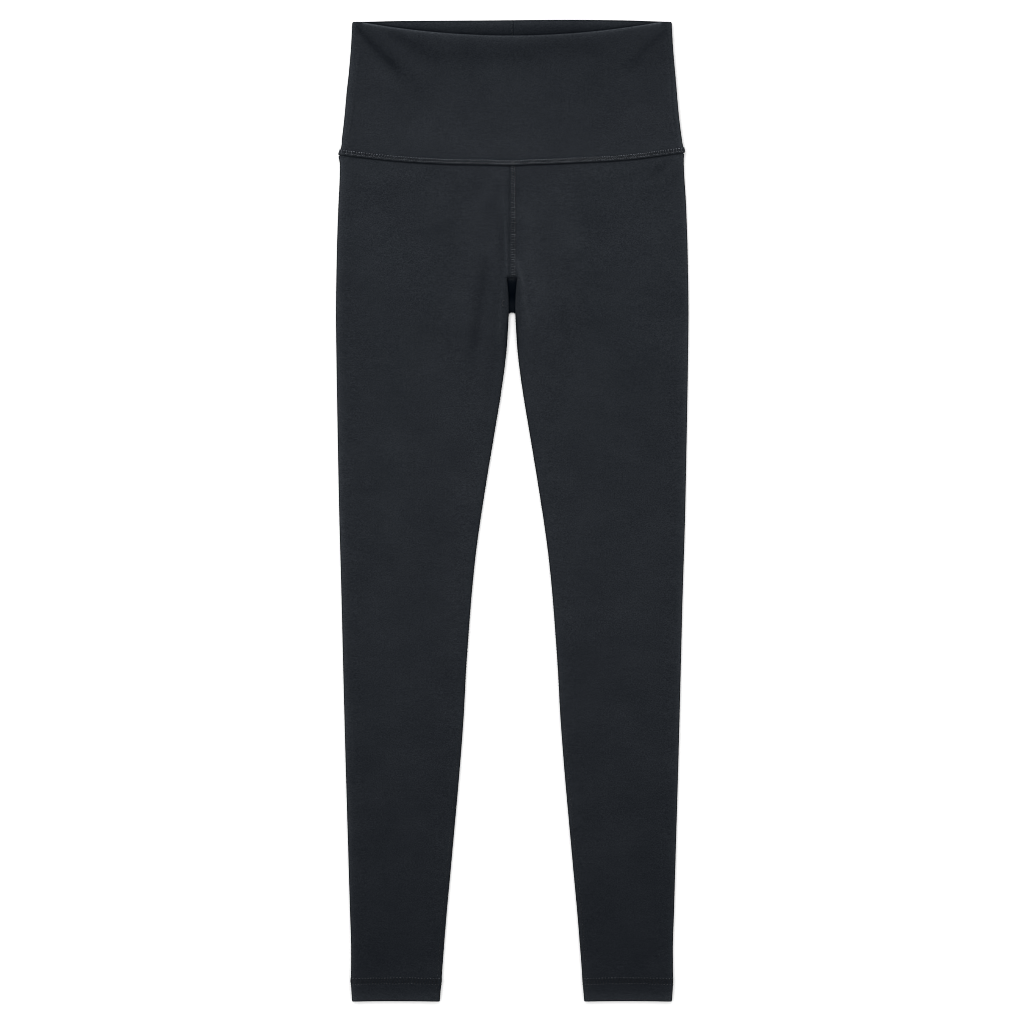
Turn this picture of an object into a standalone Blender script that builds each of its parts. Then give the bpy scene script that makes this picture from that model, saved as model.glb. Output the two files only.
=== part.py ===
"""High-rise leggings lying flat: a double waistband, two one-piece legs and a crotch gusset.

Metres, +Z up. The garment lies on z = 0, face up, with its waist toward +Y. Left and right are
the wearer's, so the left leg is at +X. A level is a height along the garment, measured up from
the hem edge. Every panel is a closed wall of cloth: a grid of outer points and the matching
inner points, one wall further in. Sections are worked out at x > 0 and mirrored.
"""

import math
from collections import namedtuple

import bmesh
import bpy

# Driving sizes
LENGTH = 1.0096            # hem edge to the middle of the back waist
CLOTH = 0.0011             # one layer of knit
HEM_WALL = 0.0020          # the turned-up hem, two layers
BAND_WALL = 0.0022         # the waistband, two layers
SEAM_GAP = 0.0003          # between neighbouring panels

# Waist seam, where the legs meet the waistband
SIDE_SEAM_LEVEL = 0.8747   # at the side folds
SEAM_DIP_FRONT = 0.0113    # how far the seam drops at the centre front
SEAM_DIP_BACK = 0.0030     # and at the centre back
SEAM_HALF_SPAN = 0.1760    # centre to side fold
LIP_WIDTH = 0.0028         # flatlock band on each side of the seam line
LIP_FOOT = 0.0036          # where the band has come down to the panel
LIP_RISE = 0.0006          # the band stands this far above the panel

# Top edge of the waistband
CORNER_LEVEL = 1.0083      # at the side folds
FRONT_EDGE_LEVEL = 0.9938  # lowest point of the front edge
FRONT_EDGE_RISE = 0.0136   # its rise at FRONT_EDGE_SPAN from the centre
FRONT_EDGE_SPAN = 0.1483
CORNER_RADIUS = 0.0020

# Rounding of a folded edge: how much of the wall closes at the edge, and a step before it
EDGE_PINCH = 0.70
STEP_PINCH = 0.10
EDGE_STEP = 0.0010

# How the waistband lies
BAND_FOLD = 0.0060         # height at the side folds
BAND_MIDDLE = 0.0053       # height between them
BAND_HEIGHT = CORNER_LEVEL - SIDE_SEAM_LEVEL
FOLD_RELAX = 0.012         # a side fold settles to the flat over this width

# Centre-front band, and the crotch slot below it
CENTRE_BAND = 0.0040       # half width of the raised band
CENTRE_BAND_FOOT = 0.0048
SLOT_TOP = 0.7457          # top of the slot between the legs
SLOT_HEAD = 0.7472         # the legs meet again from here up
CROTCH = 0.7085            # highest level at which a leg is a closed tube
CROTCH_OPEN = 0.7112       # lowest level at which its back edge lies flat
STRIP_END = 0.0060         # the front edge strip ends this far past the inner fold
INSEAM_RISE = 0.0003       # the inseam stands this far above the leg

# Gusset
GUSSET_TIP = 0.7900        # its point on the back
GUSSET_FOLD = 0.7107       # where it turns under
GUSSET_LOWER = CLOTH / 2   # middle of its lower leaf
GUSSET_UPPER = 0.00215     # middle of its upper leaf
GUSSET_UNDER = 0.0015      # how far its upper leaf reaches under the legs' edges

Side = namedtuple("Side", "level outer")
SIDE_OUTLINE = [
    Side(0.0000, 0.1648),
    Side(0.0130, 0.1656),
    Side(0.0230, 0.1659),
    Side(0.0520, 0.1658),
    Side(0.0930, 0.1670),
    Side(0.1750, 0.1694),
    Side(0.2580, 0.1718),
    Side(0.3400, 0.1739),
    Side(0.4230, 0.1759),
    Side(0.5050, 0.1781),
    Side(0.5880, 0.1797),
    Side(0.6700, 0.1810),
    Side(0.7070, 0.1814),
    Side(0.7750, 0.1804),
    Side(0.8120, 0.1792),
    Side(0.8660, 0.1769),
    Side(0.8711, 0.1772),
    Side(0.8719, 0.1780),
    Side(0.8747, 0.1781),
    Side(0.8775, 0.1778),
    Side(0.8783, 0.1768),
    Side(0.8830, 0.1755),
    Side(0.8865, 0.1750),
    Side(0.9110, 0.1720),
    Side(0.9480, 0.1688),
    Side(0.9850, 0.1657),
    Side(1.0084, 0.1645),
]

Inside = namedtuple("Inside", "level inner")
INNER_FOLD = [
    Inside(0.0000, 0.0744),
    Inside(0.0130, 0.0733),
    Inside(0.0230, 0.0725),
    Inside(0.0520, 0.0703),
    Inside(0.0930, 0.0670),
    Inside(0.1340, 0.0632),
    Inside(0.1750, 0.0595),
    Inside(0.2170, 0.0557),
    Inside(0.2580, 0.0523),
    Inside(0.2990, 0.0494),
    Inside(0.3400, 0.0474),
    Inside(0.3820, 0.0445),
    Inside(0.4230, 0.0412),
    Inside(0.4640, 0.0369),
    Inside(0.5050, 0.0311),
    Inside(0.5460, 0.0246),
    Inside(0.5880, 0.0176),
    Inside(0.6290, 0.0109),
    Inside(0.6590, 0.0068),
    Inside(0.6757, 0.0052),
    Inside(0.6910, 0.0042),
    Inside(0.7066, 0.0034),
    Inside(0.7128, 0.0031),
    Inside(0.7220, 0.0033),
    Inside(0.7313, 0.0038),
    Inside(0.7457, 0.0051),
]

# Heights of the upper layer: at the outer fold, between the folds, and at the inner fold or the
# centre front, with the width over which that last one settles, and the wall.
Lie = namedtuple("Lie", "level fold middle inside settle wall")
LEG_LIE = [
    Lie(0.0000, 0.0050, 0.0044, 0.0050, 0.012, HEM_WALL),
    Lie(0.0165, 0.0050, 0.0044, 0.0050, 0.012, HEM_WALL),
    Lie(0.0178, 0.0048, 0.0041, 0.0048, 0.012, 0.0018),
    Lie(0.0244, 0.0048, 0.0041, 0.0048, 0.012, 0.0018),
    Lie(0.0262, 0.0046, 0.0038, 0.0046, 0.012, 0.0014),
    Lie(0.0450, 0.0038, 0.0029, 0.0038, 0.012, CLOTH),
    Lie(0.2000, 0.0036, 0.0027, 0.0036, 0.014, CLOTH),
    Lie(0.5500, 0.0036, 0.0028, 0.0036, 0.016, CLOTH),
    Lie(0.6300, 0.0038, 0.0029, 0.0044, 0.024, CLOTH),
    Lie(0.6900, 0.0038, 0.0030, 0.0058, 0.038, CLOTH),
    Lie(0.7100, 0.0038, 0.0030, 0.0060, 0.042, CLOTH),
    Lie(0.7472, 0.0038, 0.0030, 0.0060, 0.046, CLOTH),
    Lie(0.7900, 0.0038, 0.0030, 0.0048, 0.046, CLOTH),
    Lie(0.8450, 0.0039, 0.0031, 0.0038, 0.040, CLOTH),
    Lie(0.8660, 0.0046, 0.0038, 0.0042, 0.030, CLOTH),
    Lie(0.8711, 0.0052, 0.0044, 0.0047, 0.030, CLOTH),
    Lie(0.8719, 0.0060, 0.0059, 0.0060, 0.030, 0.0016),
    Lie(0.8747, 0.0060, 0.0059, 0.0060, 0.030, 0.0016),
]

# Where the inseam runs: the part of the inner fold's half turn that lies behind it, and how far
# it has moved on past the fold onto the front.
Inseam = namedtuple("Inseam", "level turn forward")
INSEAM = [
    Inseam(0.0000, 1.00, 0.0022),
    Inseam(0.0600, 1.00, 0.0028),
    Inseam(0.1200, 1.00, 0.0026),
    Inseam(0.2900, 1.00, 0.0014),
    Inseam(0.3450, 0.80, 0.0000),
    Inseam(0.5000, 0.50, 0.0000),
    Inseam(0.7500, 0.50, 0.0000),
]

# Half width of the gusset's lower leaf, which lies between the legs' back edges
Leaf = namedtuple("Leaf", "level half")
LOWER_LEAF = [
    Leaf(GUSSET_FOLD, 0.0027),
    Leaf(0.7135, 0.0050),
    Leaf(0.7190, 0.0085),
    Leaf(0.7260, 0.0108),
    Leaf(0.7350, 0.0115),
    Leaf(0.7472, 0.0100),
    Leaf(0.7600, 0.0074),
    Leaf(0.7750, 0.0040),
    Leaf(GUSSET_TIP, 0.0005),
]

# The gusset's upper leaf, from the fold up to its front end under the centre-front seam
Upper = namedtuple("Upper", "level middle half")
UPPER_LEAF = [
    Upper(GUSSET_FOLD, GUSSET_UPPER, 0.0027),
    Upper(0.7135, GUSSET_UPPER, 0.0028),
    Upper(0.7175, GUSSET_UPPER, 0.0032 + GUSSET_UNDER),
    Upper(0.7313, GUSSET_UPPER, 0.0038 + GUSSET_UNDER),
    Upper(0.7400, GUSSET_UPPER, 0.0047),
    Upper(0.7460, 0.00240, 0.0047),
    Upper(0.7485, 0.00380, 0.0047),
]

# Soft troughs and ridges of the front: from one end to the other, with the half width across and
# the height in the middle (a trough is negative). Each fades out toward its ends.
CREASE_FADE = 0.35         # the part of its length over which each end fades
Crease = namedtuple("Crease", "x0 level0 x1 level1 spread height")
BAND_CREASES = [
    Crease(-0.154, 0.999, -0.090, 0.930, 0.007, -0.0006),
    Crease(-0.140, 1.000, -0.066, 0.948, 0.010, 0.0005),
    Crease(-0.122, 0.994, 0.030, 0.974, 0.010, -0.0005),
    Crease(0.156, 1.002, 0.112, 0.948, 0.008, -0.0005),
    Crease(0.140, 0.998, 0.084, 0.962, 0.010, 0.0004),
]
LEG_CREASES = [
    Crease(0.030, 0.722, 0.016, 0.650, 0.009, -0.0004),
    Crease(0.170, 0.866, 0.120, 0.842, 0.008, 0.0004),
    Crease(0.118, 0.560, 0.128, 0.330, 0.020, 0.0005),
    Crease(0.100, 0.240, 0.122, 0.080, 0.014, 0.0004),
]

LEG_LEVELS = [
    0.0, EDGE_STEP, 0.0165, 0.0178, 0.0244, 0.0262, 0.036, 0.060, 0.100, 0.140, 0.185, 0.230,
    0.275, 0.315, 0.350, 0.390, 0.430, 0.470, 0.510, 0.550, 0.590, 0.630, 0.660, 0.682,
    0.698, CROTCH, CROTCH_OPEN, 0.7135, 0.7190, 0.7260, 0.7350, SLOT_TOP, SLOT_HEAD, 0.7600,
    0.7750, GUSSET_TIP, 0.7908, 0.815, 0.838, 0.856, 0.866, SIDE_SEAM_LEVEL - LIP_FOOT,
    SIDE_SEAM_LEVEL - LIP_WIDTH, SIDE_SEAM_LEVEL,
]
EDGE_STRIP = (0.0, 0.16, 0.32, 0.50, 0.72, 1.0)           # the front edge strip of a leg
INSEAM_PART = 0.4          # the part of that strip that the raised inseam takes
CENTRE_STRIP = (SEAM_GAP / 2, 0.0020, CENTRE_BAND, CENTRE_BAND_FOOT, 0.0066, 0.0090)
FRONT_PARTS = 8            # columns across the front of a leg
FOLD_PARTS = 6             # columns round the outer fold
BACK_PARTS = 4             # columns across the back
BACK_EDGE_PARTS = 6        # columns from the back onto the inseam
BACK_EDGE_WIDTH = 0.006    # the same columns, where the back edge lies flat
BAND_COLUMNS = 12          # across half of the waistband
BAND_ROWS = (0.0, LIP_WIDTH, LIP_FOOT, 0.012, 0.030, 0.052, 0.074, 0.094, 0.110, 0.122)
QUARTER_PARTS = 3          # columns round a quarter fold
GUSSET_COLUMNS = 5

COLOUR = (0.022, 0.025, 0.029, 1.0)
ROUGHNESS = 0.92
SHARP_ANGLE = math.radians(50)


def smooth(table, column, level):
    """A column of a table at any level, on a curve through its rows that never overshoots."""
    if level <= table[0].level:
        return getattr(table[0], column)
    if level >= table[-1].level:
        return getattr(table[-1], column)
    k = max(i for i, row in enumerate(table) if row.level <= level)
    k = min(k, len(table) - 2)
    levels = [row.level for row in table]
    values = [getattr(row, column) for row in table]
    slopes = [(values[i + 1] - values[i]) / (levels[i + 1] - levels[i])
              for i in range(len(table) - 1)]

    def tangent(i):
        if i == 0 or i == len(table) - 1:
            return slopes[0] if i == 0 else slopes[-1]
        before, after = slopes[i - 1], slopes[i]
        if before * after <= 0:
            return 0.0
        return 2 * before * after / (before + after)

    width = levels[k + 1] - levels[k]
    t = (level - levels[k]) / width
    start, end = tangent(k) * width, tangent(k + 1) * width
    return ((2 * t ** 3 - 3 * t ** 2 + 1) * values[k] + (t ** 3 - 2 * t ** 2 + t) * start
            + (3 * t ** 2 - 2 * t ** 3) * values[k + 1] + (t ** 3 - t ** 2) * end)


def mix(a, b, t):
    return a + (b - a) * t


def ease(t):
    """0 to 1, with flat ends."""
    t = min(max(t, 0.0), 1.0)
    return t * t * (3 - 2 * t)


def crease_height(creases, x, level):
    """The height that soft troughs and ridges add at one place."""
    total = 0.0
    for c in creases:
        dx, dy = c.x1 - c.x0, c.level1 - c.level0
        length = math.hypot(dx, dy)
        along = ((x - c.x0) * dx + (level - c.level0) * dy) / length ** 2
        across = ((x - c.x0) * dy - (level - c.level0) * dx) / length
        fade = ease(along / CREASE_FADE) * ease((1 - along) / CREASE_FADE)
        total += c.height * fade * math.exp(-(across / c.spread) ** 2)
    return total


def seam_level(x, dip):
    """The waist seam, a shallow arc between the side folds."""
    return SIDE_SEAM_LEVEL - dip * (1 - (x / SEAM_HALF_SPAN) ** 2)


def pinch(pair, amount):
    """Draws an outer and an inner point together, to round an edge."""
    outer, inner = pair
    half = amount / 2
    return (tuple(mix(o, i, half) for o, i in zip(outer, inner)),
            tuple(mix(i, o, half) for o, i in zip(outer, inner)))


def arc_pair(centre_x, radius, wall, angle, way):
    """Points of a round fold. The angle runs from 0 on the ground to pi at the top."""
    def point(r):
        return (centre_x + way * r * math.sin(angle), radius - r * math.cos(angle))
    return point(radius), point(radius - wall)


def cloth(name, grid, material):
    """A closed wall of cloth from rows of (outer, inner) points."""
    rows, columns = len(grid), len(grid[0])
    mesh = bpy.data.meshes.new(name)
    bm = bmesh.new()
    outer = [[bm.verts.new(pair[0]) for pair in row] for row in grid]
    inner = [[bm.verts.new(pair[1]) for pair in row] for row in grid]
    for r in range(rows - 1):
        for c in range(columns - 1):
            bm.faces.new((outer[r][c], outer[r][c + 1], outer[r + 1][c + 1], outer[r + 1][c]))
            bm.faces.new((inner[r][c], inner[r + 1][c], inner[r + 1][c + 1], inner[r][c + 1]))
    for r in range(rows - 1):
        for c in (0, columns - 1):
            bm.faces.new((outer[r][c], outer[r + 1][c], inner[r + 1][c], inner[r][c]))
    for c in range(columns - 1):
        for r in (0, rows - 1):
            bm.faces.new((outer[r][c], outer[r][c + 1], inner[r][c + 1], inner[r][c]))
    bmesh.ops.recalc_face_normals(bm, faces=bm.faces)
    bm.to_mesh(mesh)
    bm.free()
    mesh.shade_smooth()
    mesh.set_sharp_from_angle(angle=SHARP_ANGLE)
    mesh.materials.append(material)
    part = bpy.data.objects.new(name, mesh)
    bpy.context.collection.objects.link(part)
    return part


def place(x, level, z):
    return (x, level - LENGTH / 2, z)


# Legs

Station = namedtuple("Station", "level outer inner fold middle inside settle wall")


def station(level):
    """The sizes of a leg's section at one level."""
    lie = [smooth(LEG_LIE, column, level) for column in Lie._fields[1:]]
    inner = smooth(INNER_FOLD, "inner", level) if level < SLOT_HEAD else 0.0
    return Station(level, smooth(SIDE_OUTLINE, "outer", level), inner, *lie)


def leg_top(s, x):
    """Height of a leg's upper face."""
    start = s.inner + s.inside / 2 if s.level < SLOT_HEAD else 0.0
    end = s.outer - s.fold / 2
    at_fold = math.exp(-((end - x) / FOLD_RELAX) ** 2)
    at_inside = math.exp(-((x - start) / s.settle) ** 2)
    clear = ease((end - x) / FOLD_RELAX) * ease((x - start) / FOLD_RELAX)
    return (s.middle + (s.fold - s.middle) * at_fold + (s.inside - s.middle) * at_inside
            + clear * crease_height(LEG_CREASES, x, s.level))


def top_pair(s, x, rise=0.0):
    z = leg_top(s, x)
    return (x, z + rise), (x, z - s.wall)


def inner_fold_pair(s, arc, rise=0.0):
    """A point on the way round the inner fold, by its distance from the ground face."""
    radius = s.inside / 2
    if arc < math.pi * radius:
        return arc_pair(s.inner + radius, radius, s.wall, arc / radius, -1)
    return top_pair(s, s.inner + radius + arc - math.pi * radius, rise)


def inseam_arc(s):
    """How far round the inner fold the inseam lies."""
    turn = smooth(INSEAM, "turn", s.level)
    return turn * math.pi * s.inside / 2 + smooth(INSEAM, "forward", s.level)


def front_strip(s):
    """From the front edge inward: the inseam, the slot's rolled edge or the centre-front band."""
    if s.level >= SLOT_HEAD:
        return [top_pair(s, x, LIP_RISE if x <= CENTRE_BAND else 0.0) for x in CENTRE_STRIP]
    start = inseam_arc(s) + SEAM_GAP / 2
    end = math.pi * s.inside / 2 + STRIP_END
    return [inner_fold_pair(s, mix(start, end, t), INSEAM_RISE if t < INSEAM_PART else 0.0)
            for t in EDGE_STRIP]


def back_edge(s):
    """From the back face to the back edge: flat beside the gusset, or round the inner fold."""
    steps = [k / BACK_EDGE_PARTS for k in range(BACK_EDGE_PARTS + 1)]
    if s.level <= CROTCH:
        end = inseam_arc(s) - SEAM_GAP / 2
        return [inner_fold_pair(s, end * t, INSEAM_RISE) for t in steps]
    edge = SEAM_GAP / 2
    if s.level <= GUSSET_TIP:
        edge = smooth(LOWER_LEAF, "half", s.level) + SEAM_GAP
    return [((x, 0.0), (x, s.wall)) for x in
            (mix(edge + BACK_EDGE_WIDTH, edge, t) for t in steps)]


def leg_section(s):
    """Outer and inner points from the front edge round to the back edge."""
    strip = front_strip(s)
    back = back_edge(s)
    radius = s.fold / 2
    start, end = strip[-1][0][0], s.outer - radius
    front = [top_pair(s, mix(start, end, k / FRONT_PARTS)) for k in range(1, FRONT_PARTS)]
    fold = [arc_pair(end, radius, s.wall, math.pi * (1 - k / FOLD_PARTS), 1)
            for k in range(FOLD_PARTS + 1)]
    under = [((x, 0.0), (x, s.wall)) for x in
             (mix(end, back[0][0][0], k / BACK_PARTS) for k in range(1, BACK_PARTS))]
    return strip + front + fold + under + back


def leg_level(s, x, on_front):
    """A section's own level at x: the upper sections follow the waist seam's arc."""
    dip = SEAM_DIP_FRONT if on_front else SEAM_DIP_BACK
    follow = ease((s.level - GUSSET_TIP) / (SIDE_SEAM_LEVEL - LIP_FOOT - GUSSET_TIP))
    return s.level + follow * (seam_level(x, dip) - SIDE_SEAM_LEVEL)


def leg_grid(side):
    """The whole leg, side being 1 for the left leg and -1 for the right."""
    front_columns = len(EDGE_STRIP) + FRONT_PARTS - 1 + FOLD_PARTS // 2
    grid = []
    for level in LEG_LEVELS:
        s = station(level)
        row = []
        for c, (outer, inner) in enumerate(leg_section(s)):
            on_front = c < front_columns
            edge = SEAM_GAP / 2 if level == SIDE_SEAM_LEVEL else 0.0
            row.append(tuple(place(side * x, leg_level(s, x, on_front) - edge, z)
                             for x, z in (outer, inner)))
        grid.append(row)
    grid[0] = [pinch(pair, EDGE_PINCH) for pair in grid[0]]
    grid[1] = [pinch(pair, STEP_PINCH) for pair in grid[1]]
    return grid


# Waistband

def front_edge_level(x):
    """The front waist edge: a shallow arc that runs out level at the corners."""
    arc = FRONT_EDGE_LEVEL + FRONT_EDGE_RISE * (x / FRONT_EDGE_SPAN) ** 2
    return min(arc, CORNER_LEVEL)


def back_edge_level(x):
    """The back waist edge rises a little toward the centre back."""
    return CORNER_LEVEL + (LENGTH - CORNER_LEVEL) * (1 - (x / SEAM_HALF_SPAN) ** 2)


def band_rows():
    """Distances of the rows from the waist seam, each with its pinch, up to the folded edge."""
    flat = [(distance, 0.0) for distance in BAND_ROWS]
    return flat + [(BAND_HEIGHT - EDGE_STEP, STEP_PINCH), (BAND_HEIGHT, EDGE_PINCH)]


def band_rise(distance):
    return LIP_RISE if distance <= LIP_WIDTH else 0.0


def corner_cut(to_top):
    """How far the side fold draws in as it rounds the top corner."""
    left = max(CORNER_RADIUS - to_top, 0.0)
    return CORNER_RADIUS - math.sqrt(CORNER_RADIUS ** 2 - left ** 2)


def band_point(x, distance, dip, top_level):
    """The level of a place that lies some way above the waist seam at the side."""
    low = seam_level(x, dip) + SEAM_GAP / 2
    if distance <= LIP_FOOT:
        return low + distance
    t = (distance - LIP_FOOT) / (BAND_HEIGHT - LIP_FOOT)
    return mix(low + LIP_FOOT, top_level(x), t)


def band_side(distance):
    """Where the side fold lies, some way above the waist seam."""
    return (smooth(SIDE_OUTLINE, "outer", SIDE_SEAM_LEVEL + distance)
            - corner_cut(BAND_HEIGHT - distance))


def quarter_fold(side_x, upper):
    """Half of a side fold, from the flat to the side seam."""
    radius = BAND_FOLD / 2
    half_gap = SEAM_GAP / 2 / radius
    start, end = (math.pi, math.pi / 2 + half_gap) if upper else (0.0, math.pi / 2 - half_gap)
    return [arc_pair(side_x - radius, radius, BAND_WALL, mix(start, end, k / QUARTER_PARTS), 1)
            for k in range(QUARTER_PARTS + 1)]


def front_top(x, level, side_x):
    """Height of the front waistband."""
    end = side_x - BAND_FOLD / 2
    at_fold = math.exp(-((end - abs(x)) / FOLD_RELAX) ** 2)
    clear = ease((end - abs(x)) / FOLD_RELAX)
    return (BAND_MIDDLE + (BAND_FOLD - BAND_MIDDLE) * at_fold
            + clear * crease_height(BAND_CREASES, x, level))


def front_band_grid():
    grid = []
    for distance, amount in band_rows():
        side_x = band_side(distance)
        end = side_x - BAND_FOLD / 2
        rise = band_rise(distance)
        row = []
        for k in range(1 - BAND_COLUMNS, BAND_COLUMNS):
            x = end * k / BAND_COLUMNS
            level = band_point(x, distance, SEAM_DIP_FRONT, front_edge_level)
            z = front_top(x, level, side_x)
            row.append((place(x, level, z + rise), place(x, level, z - BAND_WALL)))
        fold = [tuple(place(x, band_point(x, distance, SEAM_DIP_FRONT, front_edge_level), z)
                      for x, z in pair) for pair in quarter_fold(side_x, True)]
        left = [tuple((-x, y, z) for x, y, z in pair) for pair in reversed(fold)]
        grid.append([pinch(pair, amount) for pair in left + row + fold])
    return grid


def back_band_grid(side):
    grid = []
    for distance, amount in band_rows():
        side_x = band_side(distance)
        end = side_x - BAND_FOLD / 2
        flat = [((x, 0.0), (x, BAND_WALL)) for x in
                (mix(SEAM_GAP / 2, end, k / BAND_COLUMNS) for k in range(BAND_COLUMNS))]
        section = flat + quarter_fold(side_x, False)
        grid.append([pinch(tuple(
            place(side * x, band_point(x, distance, SEAM_DIP_BACK, back_edge_level), z)
            for x, z in pair), amount) for pair in section])
    return grid


# Gusset

def gusset_path():
    """(level, height, half width, direction of the outer side) from the front end to the tip."""
    upper = [(row.level, row.middle, row.half) for row in reversed(UPPER_LEAF)]
    lower = [(row.level, GUSSET_LOWER, row.half) for row in LOWER_LEAF]
    radius = (GUSSET_UPPER - GUSSET_LOWER) / 2
    turn = [(GUSSET_FOLD - radius * math.sin(a), GUSSET_LOWER + radius * (1 + math.cos(a)),
             LOWER_LEAF[0].half) for a in (math.pi / 4, math.pi / 2, 3 * math.pi / 4)]
    return upper + turn + lower


def gusset_grid():
    path = gusset_path()
    grid = []
    for k, (level, height, half) in enumerate(path):
        before, after = path[max(k - 1, 0)], path[min(k + 1, len(path) - 1)]
        along, up = before[0] - after[0], before[1] - after[1]
        length = math.hypot(along, up)
        out_level, out_z = -up / length, along / length
        if k == len(path) - 1 or height == GUSSET_LOWER:
            out_level, out_z = 0.0, -1.0
        row = []
        for c in range(GUSSET_COLUMNS):
            x = half * (2 * c / (GUSSET_COLUMNS - 1) - 1)
            row.append(tuple(place(x, level + way * out_level * CLOTH / 2,
                                   height + way * out_z * CLOTH / 2) for way in (1, -1)))
        grid.append(row)
    return grid


def knit_material():
    material = bpy.data.materials.new("charcoal_knit")
    material.use_nodes = True
    shader = material.node_tree.nodes["Principled BSDF"]
    shader.inputs["Base Color"].default_value = COLOUR
    shader.inputs["Roughness"].default_value = ROUGHNESS
    shader.inputs["Metallic"].default_value = 0.0
    return material


def main():
    for thing in list(bpy.data.objects):
        bpy.data.objects.remove(thing, do_unlink=True)
    knit = knit_material()
    cloth("waistband_front", front_band_grid(), knit)
    for name, side in (("left", 1), ("right", -1)):
        cloth("waistband_back_" + name, back_band_grid(side), knit)
        cloth("leg_" + name, leg_grid(side), knit)
    cloth("gusset", gusset_grid(), knit)


main()
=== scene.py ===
"""The looks of the leggings: every knitted panel as a fine shell on its solid's form, the sewing
thread, the brushed charcoal knit, and the pale floor, soft light and camera.

Metres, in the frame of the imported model. The garment lies face up on z = 0 with its waist toward
+Y. A level is a height along the garment, measured up from the hem edge. Left and right are the
wearer's, so the left leg is at +X. Sections are worked out at x > 0 and mirrored. Where a name
holds a value for each side, 1 is the left and -1 the right.
"""

import math
from collections import namedtuple

import bpy
import numpy as np
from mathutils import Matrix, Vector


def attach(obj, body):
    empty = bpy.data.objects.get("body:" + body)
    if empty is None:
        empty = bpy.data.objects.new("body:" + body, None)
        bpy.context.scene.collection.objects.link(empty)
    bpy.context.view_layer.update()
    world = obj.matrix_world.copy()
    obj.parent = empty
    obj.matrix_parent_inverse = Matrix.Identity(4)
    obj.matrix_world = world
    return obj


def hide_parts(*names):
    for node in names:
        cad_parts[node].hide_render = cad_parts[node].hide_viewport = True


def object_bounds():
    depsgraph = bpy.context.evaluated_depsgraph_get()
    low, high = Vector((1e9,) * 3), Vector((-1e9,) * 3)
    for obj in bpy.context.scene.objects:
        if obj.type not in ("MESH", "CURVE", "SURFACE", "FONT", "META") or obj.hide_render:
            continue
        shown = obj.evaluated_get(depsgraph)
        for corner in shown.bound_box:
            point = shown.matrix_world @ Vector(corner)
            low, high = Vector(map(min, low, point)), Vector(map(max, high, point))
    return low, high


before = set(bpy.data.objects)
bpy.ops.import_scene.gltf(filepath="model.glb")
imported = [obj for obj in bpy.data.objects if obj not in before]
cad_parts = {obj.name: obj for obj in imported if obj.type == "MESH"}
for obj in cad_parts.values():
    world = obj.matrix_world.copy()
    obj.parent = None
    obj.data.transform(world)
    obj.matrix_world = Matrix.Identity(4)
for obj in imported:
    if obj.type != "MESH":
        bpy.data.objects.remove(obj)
CAD_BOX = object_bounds()

MM = 0.001
LENGTH = CAD_BOX[1].y - CAD_BOX[0].y


def table(columns, *rows):
    """A short table with named columns."""
    row = namedtuple("Row", columns)
    return [row(*values) for values in rows]


# Walls of the shells
CLOTH = 1.0 * MM           # one layer of knit
BAND_WALL = 2.1 * MM       # the waistband, two layers
HEM_WALL = 1.9 * MM        # the turned-up hem, two layers

# Waist seam, and the waistband's lapped edge on it
SIDE_SEAM_LEVEL = 0.8747
SEAM_DIP_FRONT = 0.0113
SEAM_DIP_BACK = 0.0030
SEAM_HALF_SPAN = 0.1760
SEAM_TILT = 1.2 * MM       # the seam lies a little higher at +X
SEAM_SAG = table(          # and it wanders a little
    "x shift",
    (-0.176, 0.0), (-0.157, -0.0001), (-0.11, -0.0006), (-0.065, -0.0005), (-0.028, -0.0002),
    (0.0, -0.0008), (0.018, -0.0001), (0.06, 0.0), (0.1, -0.0006), (0.125, -0.0009),
    (0.15, -0.0004), (0.176, -0.0002))
SEAM_FOLLOW = 2.0 * MM     # a leg follows the seam's whole arc from this far below the lap
LAP = 2.0 * MM             # the waistband reaches this far below the seam line
LAP_WALL = 1.3 * MM
LAP_WALL_FADE = 1.2 * MM
LAP_RISE = 0.6 * MM        # the sewn band stands this far above the waistband
LAP_ROOM = 0.4 * MM        # and keeps this much room for its thread underneath
LAP_TOP = 3.3 * MM         # height of the sewn band above the seam line
LAP_FADE = 1.1 * MM
UNDER_LAP = 1.45 * MM      # the leg's back panel lies this high where the lap passes under it
UPPER_ROW = 2.5 * MM       # stitch rows, from the seam line
LOWER_ROW = -0.5 * MM
SEAM_GROOVE = 3.1 * MM     # the dark groove reaches this far below the seam line
GROOVE_SIDE = 0.45         # what is left of it at the sides
GROOVE_SIDE_WIDTH = 22.0 * MM

# Waist edge
CORNER_LEVEL = 1.0085
FRONT_EDGE_LEVEL = 0.9947
FRONT_EDGE_RISE = 0.0129
FRONT_EDGE_TILT = 0.3 * MM
FRONT_EDGE_SPAN = 0.1483
FRONT_EDGE_SOFT = 0.3 * MM # how softly its arc runs into the corners
CORNER_RADIUS = 2.0 * MM
BACK_EDGE = table(
    "x level",
    (-0.1625, 1.0088), (-0.15, 1.0091), (-0.115, 1.0099), (-0.03, 1.0104), (0.06, 1.0111),
    (0.112, 1.0106), (0.15, 1.0094), (0.1625, 1.0088))
EDGE_ROLL = 6.0 * MM       # the band thins toward its folded edge over this width
EDGE_DROP = 0.9 * MM
BAND_FOLD = 0.0060
BAND_MIDDLE = 0.0053
BAND_HEIGHT = CORNER_LEVEL - SIDE_SEAM_LEVEL
BAND_NEAR = 4.0 * MM       # up to this distance the band's rows run along the seam

# Folds at the sides: how far the bend reaches on the front and underneath, and over which
# width the thicker fold settles to the flat
ROLL_TOP = 4.6 * MM
ROLL_UNDER = 2.4 * MM
FOLD_RELAX = 0.012

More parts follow.
